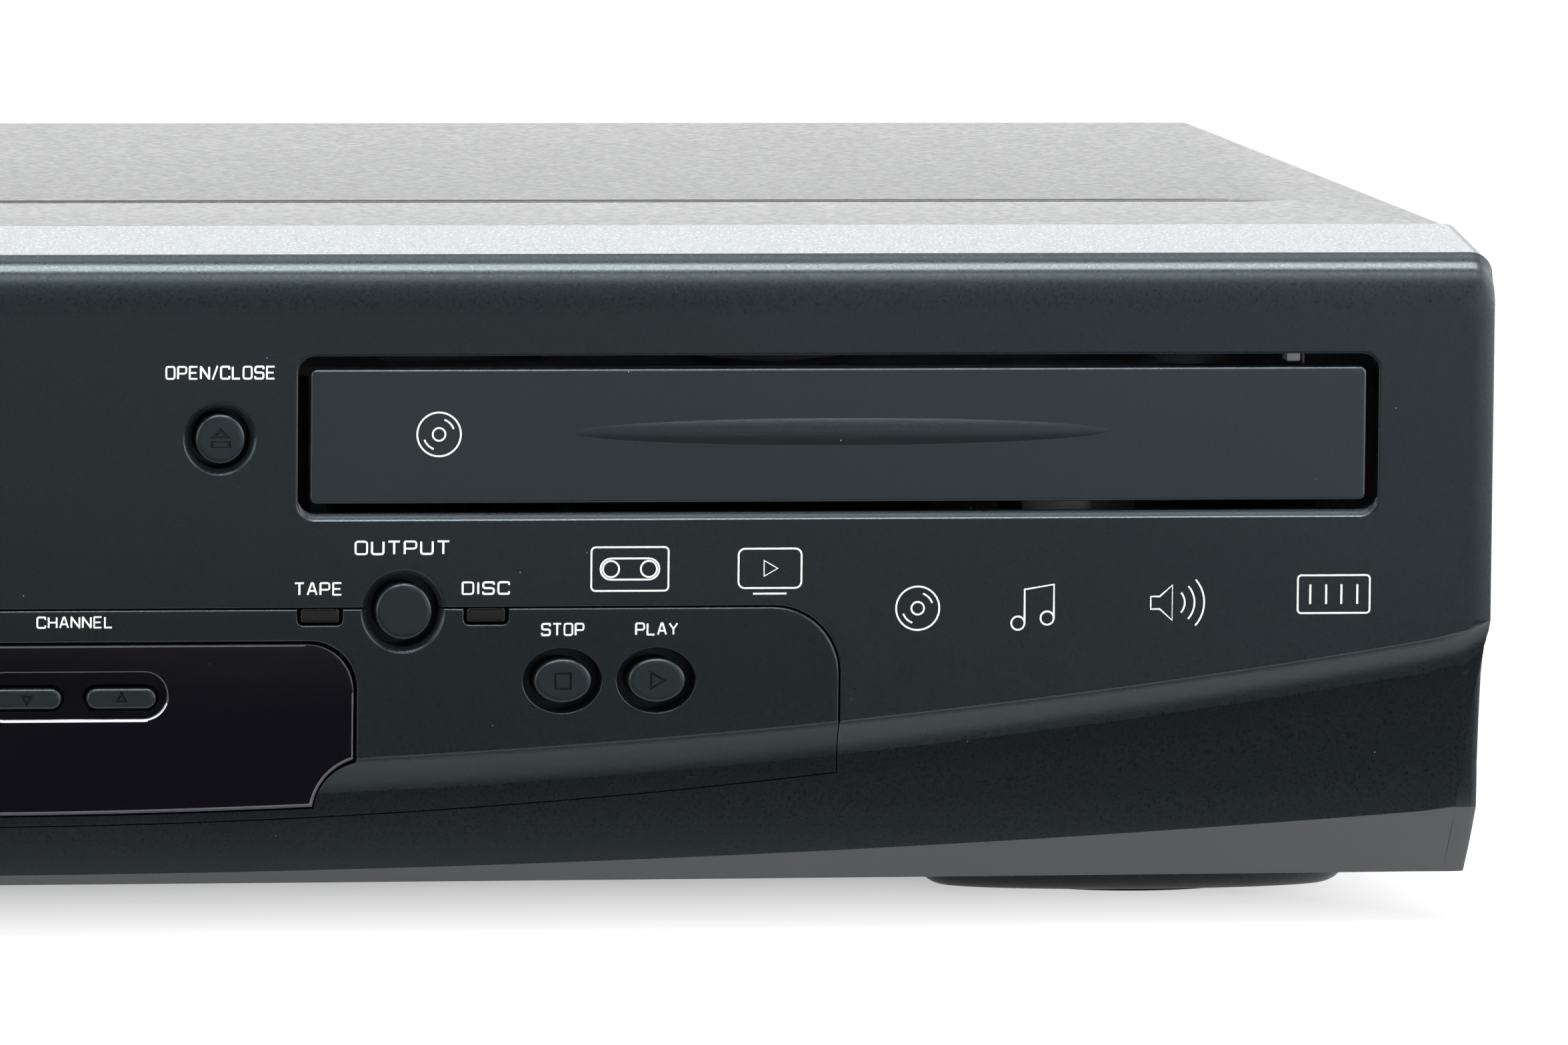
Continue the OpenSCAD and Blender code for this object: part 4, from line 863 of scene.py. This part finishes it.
def make_window():
    """The smoked window: polished edges with a painted highlight, broad under the crease, and a pill-shaped recess for
    two buttons whose lower lip has a painted highlight.
    """
    front = face_y + 0.25
    steps = [((-0.3, -0.62), front), ((-0.14, -0.5), front + 0.05), ((-0.04, -0.36), front + 0.2),
             ((0, -0.1), front + 0.7), ((0, 0), front + 1.2), ((0, 0), face_y + 5)]
    window = turned("window", lambda grow: window_outline(*grow), steps)
    cut(window, rounded_hole(pill_at(recess_x, recess_z, 26.4, 6.7), 0.3, face_y + 1.4, front))
    for node in ("channel_down_button", "channel_up_button"):
        cut(window, rounded_hole(pill_at(*middle_of(node), 10.7, 3.7), 0.12, face_y + 6, face_y + 1.4))
    keep(even(window), "window", "smoked_window", "display_window")
    # The window's rounded edges take a paler finish as a painted highlight, and the recess's lower lip a near-white
    # one as a painted highlight.
    also(window, "window_edge_painted_highlight", lambda at, way: abs(way.y) < 0.96 and at.y < face_y + 1.25)
    also(window, "painted_highlight_lip", lambda at, way: abs(at.x - recess_x) < 13.6 and -4 < at.z - recess_z < -0.9
         and way.z > 0.25 and at.y < face_y + 1)
    output_x = middle("output_button").x
    lenses = []
    for x in (output_x - lens_pitch, output_x + lens_pitch):
        outline = lambda grow, x=x: round_rect(x, panel_top - 0.95, 5.4 + 2 * grow, 1.9 + 2 * grow, 0.45, 5)
        lenses.append(even(turned("lens", outline, at_depths([(-0.28, 0.1), (-0.1, 0.14), (0, 0.3), (0, 6)]))))
    lenses = keep(joined("lamp_lenses", lenses), "lens", "lens_plastic", "led_lenses")
    # The lenses' side faces take a paler finish: a painted highlight.
    also(lenses, "lens_edge_painted_highlight", lambda at, way: 0.1 < abs(way.y) < 0.97 and at.y < face_y + 0.4)


def make_doors():
    """The tray's front with its lens-shaped ridge, and the cassette flap."""
    low, high = span("tray_door")
    mid = (low + high) / 2
    door = turned("door", box_at(mid.x, mid.z, high.x - low.x, high.z - low.z, 0.9, 6),
                  at_depths([(-0.42, 0), (-0.2, 0.05), (-0.06, 0.19), (0, 0.42), (0, 3)]))
    lift, reach, height = 0.3, 38.4, 1.95
    top = [(reach * math.cos(math.pi * k / 48), height * math.sin(math.pi * k / 48)) for k in range(49)]
    lens = top + [(x, -z) for x, z in reversed(top[1:-1])]
    ridge = []
    for i in range(15):
        share = 1 - i / 14.2
        ridge.append([(mid.x + x, face_y + 0.01 - lift * (1 - share ** 2) * (1 - (x / reach) ** 2) ** 0.7,
                       mid.z + 0.5 + z * share) for x, z in lens])
    ridge.insert(0, [(x, face_y + 0.5, z) for x, y, z in ridge[0]])
    even(door)
    ridge = even(loft("ridge", ridge), 60)
    keep(joined("tray_front", [door, ridge]), "door", "bezel_plastic", "tray_door")
    rounded_node("cassette_flap", "door", "bezel_plastic", 0.3, 3)


def button_cap(node, outline, proud, icons=()):
    """A button with its flange and stem behind, and its mark sunk into the cap."""
    stem_end = span(node)[1].y
    flange = stem_end - 2.6
    front = face_y - proud
    loops = [[(x, y, z) for x, z in circle(*middle_of(node), 1.5, len(outline(0)))]
             for y in (stem_end, flange + 0.8)]
    steps = [(1.6, flange + 0.8), (1.6, flange), (0, flange - 0.05), (0, front + 0.5), (-0.05, front + 0.28),
             (-0.17, front + 0.1), (-0.36, front), (-0.9, front + 0.04)]
    loops += [[(x, y, z) for x, z in outline(grow)] for grow, y in steps]
    cap = loft(node + "_cap", loops)
    for shape in icons:
        groove = plate("cutter", shape, front - 1, front + 0.42)
        cut(groove, plate("core", drawn_in(shape, 0.32), front - 2, front + 1))
        cut(cap, groove)
    return keep(even(cap), "button", "button_plastic", node)


def drawn_in(shape, size):
    """A shape with its sides moved in by that size."""
    x, z = sum(p[0] for p in shape) / len(shape), sum(p[1] for p in shape) / len(shape)
    width = min(abs(Vector((px - x, pz - z)).length) for px, pz in shape) * (0.5 if len(shape) == 3 else 0.7)
    share = max(0.2, 1 - size / width)
    return [(x + (px - x) * share, z + (pz - z) * share) for px, pz in shape]


def triangle(x, z, size, turn):
    """A triangle that points along turn degrees from the right."""
    return [(x + size * math.cos(math.radians(turn + a)), z + size * math.sin(math.radians(turn + a)))
            for a in (0, 120, 240)]


def bar(x, z, w, h):
    return [(x - w / 2, z - h / 2), (x + w / 2, z - h / 2), (x + w / 2, z + h / 2), (x - w / 2, z + h / 2)]


def make_buttons():
    x, z = middle_of("open_close_button")
    button_cap("open_close_button", round_at("open_close_button", 3.5), cap_proud,
               [[(x - 1.45, z + 0.15), (x + 1.45, z + 0.15), (x, z + 1.6)], bar(x, z - 0.75, 2.9, 0.9)])
    button_cap("output_button", round_at("output_button", 4), cap_proud)
    x, z = middle_of("power_button")
    button_cap("power_button", round_at("power_button", 3.5), cap_proud, [bar(x, z + 0.3, 0.8, 2.4)])
    for node in oval_buttons:
        x, z = middle_of(node)
        icons = {"stop": [bar(x, z, 2.5, 2.5)], "play": [triangle(x - 0.2, z, 1.6, 0)],
                 "rewind": [triangle(x - 1.0, z, 1.2, 180), triangle(x + 1.0, z, 1.2, 180)],
                 "forward": [triangle(x - 1.0, z, 1.2, 0), triangle(x + 1.0, z, 1.2, 0)]}
        button_cap(node, oval_at(node, 8.2, 6.26), cap_proud, icons[node.split("_")[1]])
    for node, turn in (("channel_up_button", 90), ("channel_down_button", -90)):
        x, z = middle_of(node)
        button_cap(node, pill_at(x, z, 9.9, 2.9), -0.3, [triangle(x, z, 1.05, turn)])


# Letters as pen strokes on a field six high: (width, strokes). A line that ends at its start is closed.
letters = {
    "O": (5, "0,0 5,0 5,6 0,6 0,0"), "P": (5, "0,0 0,6 | 0,6 5,6 5,2.6 0,2.6"),
    "E": (4.6, "4.6,6 0,6 0,0 4.6,0 | 0,3 4,3"), "N": (5, "0,0 0,6 5,0 5,6"), "/": (3, "0,-0.5 3,6.5"),
    "C": (5, "5,4.6 5,6 0,6 0,0 5,0 5,1.4"), "L": (4.4, "0,6 0,0 4.4,0"),
    "S": (5, "5,4.7 5,6 0,6 0,3 5,3 5,0 0,0 0,1.3"), "U": (5, "0,6 0,0 5,0 5,6"),
    "T": (5, "0,6 5,6 | 2.5,6 2.5,0"), "A": (5, "0,0 2.1,6 2.9,6 5,0 | 0.8,2 4.2,2"),
    "D": (5, "0,0 0,6 | 0,6 5,6 5,0 0,0"), "I": (0.4, "0.2,0 0.2,6"), "Y": (5, "0,6 2.5,3 2.5,0 | 2.5,3 5,6"),
    "W": (6.6, "0,6 1.5,0 3.3,5.4 5.1,0 6.6,6"), "F": (4.4, "4.4,6 0,6 0,0 | 0,3 4,3"),
    "H": (5, "0,0 0,6 | 5,0 5,6 | 0,3 5,3"), "R": (5, "0,0 0,6 | 0,6 5,6 5,2.6 0,2.6 | 2.8,2.6 5,0"),
    ".": (0.5, "0.2,0 0.2,0.4"),
}


def closed(points):
    return points + points[:1]


def stroke(points, r):
    """A line with its corners rounded."""
    whole = points[0] == points[-1]
    if whole:
        points = points[:-1]
    count = len(points)
    line = []
    for i, here in enumerate(points):
        if not whole and i in (0, count - 1):
            line.append(here)
            continue
        before, here, after = Vector(points[i - 1]), Vector(here), Vector(points[(i + 1) % count])
        back, on = before - here, after - here
        size = min(r, back.length * 0.45, on.length * 0.45)
        start, end = here + back.normalized() * size, here + on.normalized() * size
        for k in range(6):
            t = k / 5
            line.append(tuple(start * (1 - t) ** 2 + here * 2 * t * (1 - t) + end * t * t))
    return closed(line) if whole else line


def print_lines(name, lines, x, z, thick, body="case"):
    """Printed lines of ink through points in millimetres from x and z, laid flat on the face."""
    deselect()
    bpy.ops.curve.primitive_nurbs_path_add()
    art = bpy.context.object
    art.name = name
    art.data.splines.clear()
    for points in lines:
        line = art.data.splines.new("POLY")
        line.use_cyclic_u = points[0] == points[-1]
        if line.use_cyclic_u:
            points = points[:-1]
        line.points.add(len(points) - 1)
        for point, (px, pz) in zip(line.points, points):
            point.co = (px * MM, 0, pz * MM, 1)
    art.data.bevel_depth = thick * MM / 2
    art.data.bevel_resolution = 1
    art.data.use_fill_caps = True
    bpy.ops.object.convert(target="MESH")
    piece = bpy.context.object
    piece.data.transform(Matrix.Diagonal((1, 0.06, 1, 1)))
    piece.data.transform(Matrix.Translation((x * MM, face_y * MM, z * MM)))
    return keep(piece, "print", "button_plastic", body=body)


def legend(words, x, z, height, width):
    """A printed word, centred at x and standing on z, with capitals of that height."""
    lines, place, gap, rise = [], 0, 2.1, 0.42
    for letter in words:
        size, strokes = letters[letter]
        for text in strokes.split(" | "):
            points = [tuple(float(value) for value in pair.split(",")) for pair in text.split()]
            lines.append([(place + px, pz) for px, pz in stroke(points, 1.25 if letter in "OPCSUDR" else 0.15)])
        place += size + gap
    place -= gap
    thick = height * 0.155
    grow_x, grow_z = (width - thick) / place, (height - thick) / 6
    lines = [[((px - place / 2) * grow_x, pz * grow_z + thick / 2 + rise) for px, pz in line] for line in lines]
    name = "legend_" + "".join(c if c.isalnum() else "_" for c in words.lower())
    return print_lines(name, lines, x, z, thick)


def make_legends():
    """The words at the buttons and lamps."""
    x, z = middle_of("open_close_button")
    legend("OPEN/CLOSE", x, z + 7.9, 2.0, 15.6)
    output_x, output_z = middle_of("output_button")
    legend("OUTPUT", output_x - 0.2, output_z + 7.5, 2.1, 13.6)
    for node, words in (("disc_stop_button", "STOP"), ("disc_play_button", "PLAY"), ("tape_stop_button", "STOP"),
                        ("tape_play_button", "PLAY"), ("tape_rewind_button", "REW"), ("tape_forward_button", "F.FWD")):
        x, z = middle_of(node)
        legend(words, x, z + 5.9, 1.9, 6.2 if len(words) < 5 else 7.6)
    x, z = middle_of("power_button")
    legend("POWER", x, z + 7.4, 2.0, 10.4)
    for x, words in ((output_x - 12.1, "TAPE"), (output_x + 11.7, "DISC")):
        legend(words, x, output_z + 1.8, 1.95, 6.9)
    legend("CHANNEL", recess_x, window_top + 2.0, 1.75, 10.8)


def ring(x, r, z=0):
    return closed(circle(x, z, r, 40))


def box_line(w, h, r, z=0):
    return closed(round_rect(0, z, w, h, r, 5))


def make_pictures():
    """Plain pictures of what the machine plays, printed where such a front carries its marks."""
    x, z = middle_of("output_button")
    disc = [ring(0, 3.1), ring(0, 0.9), arc(0, 0, 2.2, 20, 70, 6), arc(0, 0, 2.2, 200, 250, 6)]
    tape = [box_line(11, 6.2, 0.6), ring(-2.7, 1.15), ring(2.7, 1.15), box_line(8.4, 3, 1.5)]
    screen = [box_line(9, 5.6, 0.9, 0.4), closed(triangle(-0.2, 0.4, 1.3, 0)), [(-2.4, -3.2), (2.4, -3.2)]]
    sound = [closed([(-4, -0.9), (-2.7, -0.9), (-0.9, -2.5), (-0.9, 2.5), (-2.7, 0.9), (-4, 0.9)])]
    sound += [arc(-1.2, 0, r, -42, 42, 10) for r in (2.1, 3.5, 4.9)]
    note = [ring(-1.9, 0.95, -2.2), ring(2.3, 0.95, -1.5),
            [(-0.95, -2.2), (-0.95, 2.6), (3.25, 3.3), (3.25, -1.5)]]
    bars = [box_line(10.4, 5.4, 0.5)] + [[(at, -1.4), (at, 1.4)] for at in (-3.4, -1.1, 1.1, 3.4)]
    thick = 0.3
    print_lines("picture_tray", disc, x + 4.9, 70.9, thick, frame["nodes"]["tray_door"]["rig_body"])
    for i, (art, along, up) in enumerate(((tape, 32.2, 5.8), (screen, 52.2, 5.4), (disc, 73.4, 0), (note, 89.7, 0),
                                          (sound, 110.9, 0.6), (bars, 133.3, 1.7))):
        print_lines("picture_%d" % i, art, x + along, z + up, thick)


def make_feet():
    """Four oval feet like shallow bowls, each on a rubber pad."""
    low, high = span("feet")
    bowl = [(1, 7), (1, 5), (0.985, 4.1), (0.955, 3.2), (0.91, 2.4), (0.85, 1.7), (0.78, 1.15), (0.7, 0.75),
            (0.62, 0.5), (0.56, 0.4)]
    disc = [(0.5, 1), (0.5, 0.15), (0.49, 0.04), (0.48, 0)]
    foot_w, pad_w, deep, side_in, front_in, back_in = 64, 54, 30, 26.4, 19, 15

    def stacked(name, x, y, width, count, profile):
        """Ovals one over the other, through (size, height) pairs."""
        return even(loft(name, [[(px, py, z) for px, py in oval(x, y, width(size), deep * size, count)]
                                for size, z in profile]), 50)

    places = [(x, y) for x in (low.x + side_in, high.x - side_in) for y in (low.y + front_in, high.y - back_in)]
    feet = [stacked("foot", x, y, lambda size: foot_w * (0.72 + 0.28 * size), 96, bowl) for x, y in places]
    pads = [stacked("pad", x, y, lambda size: pad_w * size, 72, disc) for x, y in places]
    keep(joined("feet_set", feet), "foot", "foot_plastic", "feet")
    keep(joined("pad_set", pads), "pad", "pad_rubber", "foot_pads")


def make_cover():
    """The steel cover, with its pressed bead softened and run out at both ends."""
    cover = own_copy("top_cover")
    bead_y, bead_half, run_out = bezel_back + 46.5, 2.9, 20
    reach = half - 18
    bpy.ops.object.mode_set(mode="EDIT")
    bpy.ops.mesh.select_all(action="DESELECT")
    bpy.ops.mesh.select_mode(type="VERT")
    form = bmesh.from_edit_mesh(cover.data)
    for vertex in form.verts:
        vertex.select = 0.1 < top_z - vertex.co.z / MM < 0.6 and abs(vertex.co.y / MM - bead_y) < 6.5
    form.select_flush(True)
    bmesh.update_edit_mesh(cover.data)
    bpy.ops.mesh.delete(type="VERT")
    bpy.ops.mesh.select_all(action="DESELECT")
    bpy.ops.mesh.select_non_manifold(extend=False)
    bpy.ops.mesh.edge_face_add()
    bpy.ops.mesh.select_all(action="SELECT")
    bpy.ops.mesh.dissolve_limited(angle_limit=math.radians(0.1))
    bpy.ops.mesh.normals_make_consistent(inside=False)
    bpy.ops.object.mode_set(mode="OBJECT")
    soften(cover, 0.18)
    end = reach - bead_half
    straight = [end - run for run in (3, 7, 12, 17, 24)]
    there_and_back = straight + [-px for px in reversed(straight)]
    loops = []
    for inset, drop in ((0, -0.02), (0.12, 0.03), (0.28, 0.12), (0.48, 0.27), (0.68, 0.36), (0.95, 0.4), (2.4, 0.41)):
        r = bead_half - inset
        rim = (arc(end, bead_y, r, -90, 90, 12) + [(px, bead_y + r) for px in there_and_back]
               + arc(-end, bead_y, r, 90, 270, 12) + [(-px, bead_y - r) for px in there_and_back])
        loops.append([(px, py, top_z - drop * min(1, max(0.04, (reach - abs(px)) / run_out))) for px, py in rim])
    loops.insert(0, [(px, py, top_z + 1) for px, py, pz in loops[0]])
    cut(cover, loft("cutter", loops))
    bpy.ops.object.shade_smooth_by_angle(angle=math.radians(32))
    keep(cover, "cover", "cover_steel", "top_cover")
    rounded_node("cover_screws", "screw", "screw_steel", 0.4)


# The plain nodes: their finish, their slot and how far the edges of each are rounded, in millimetres
plain_nodes = (
    ("steel", "sheet_steel", {"chassis_base": 0.15, "rear_panel": 0.15, "clamp_bridge": 0.2, "tray_motor": 0.4,
                              "vcr_deck": 0.15, "carriage_rails": 0.2, "loading_motor": 0.4, "lift_frame": 0.2,
                              "cassette_holder": 0.2, "pinch_arm": 0.2}),
    ("board", "board", {"main_board": 0.1, "front_board": 0.1}), ("brown_board", "power_board", {"power_board": 0.1}),
    ("parts", "components", {"power_parts": 0.4}), ("glass", "tube_glass", {"vfd_display": 0.4}),
    ("black", "black_plastic", {"tact_switches": 0.2, "ac_inlet": 0.3, "tape_heads": 0.3, "turntable": 0.2}),
    ("grey", "black_plastic", {"dvd_frame": 0.3, "traverse_deck": 0.12, "pickup_sled": 0.12}),
    ("bright", "nickel", {"tuner_module": 0.4, "rf_connectors": 0.25, "guide_posts": 0.15, "capstan": 0.15}),
    ("ribbon", "ribbon", {"ribbon_cables": 0.08}), ("belt", "belt_rubber", {"drive_belt": 0.1, "pinch_roller": 0.3}),
    ("aluminium", "aluminium", {"lower_drum": 0.3, "upper_drum": 0.3}), ("tray", "tray_plastic", {"disc_tray": 0.35}),
    ("white", "white_plastic", {"tray_gear": 0.15, "motor_pulley": 0.1, "clamp_puck": 0.25, "supply_reel": 0.25,
                                "takeup_reel": 0.25}),
)


def make_sockets():
    """Phono sockets: plated barrels with coloured insulators, one colour to a signal."""
    signals = ("yellow", "white", "red")
    z = middle("front_av_jacks").z
    places = {"front_av_jacks": [(x, z, look) for x, look in zip(jack_x, signals)]}
    high = span("rear_av_jacks")[1]
    places["rear_av_jacks"] = [(high.x - 36.5 + 15 * i, high.z - 7 - 16 * k, look)
                               for i, column in enumerate((("green", "blue", "red"), signals, signals))
                               for k, look in enumerate(column)]
    for node, sockets in places.items():
        piece = rounded_node(node, "gold", "nickel", 0.2)
        for x, z, look in sockets:
            def insulator(at, way, x=x, z=z):
                away = math.hypot(at.x - x, at.z - z)
                if at.y < 0:
                    return way.y < -0.7 and away < 4.1 and at.y < face_y + 1.2
                return rear_y < at.y < rear_y + 1.3 and away < 5.8 or way.y > 0.7 and away < 4.1 and at.y > rear_y + 5
            also(piece, look, insulator)


def make_the_rest():
    for look, slot, widths in plain_nodes:
        for node, width in widths.items():
            rounded_node(node, look, slot, width)


aim_camera()
light_room()
lay_floor()
make_bezel()
make_panel()
make_window()
make_doors()
make_buttons()
make_legends()
make_pictures()
make_feet()
make_cover()
make_sockets()
make_the_rest()
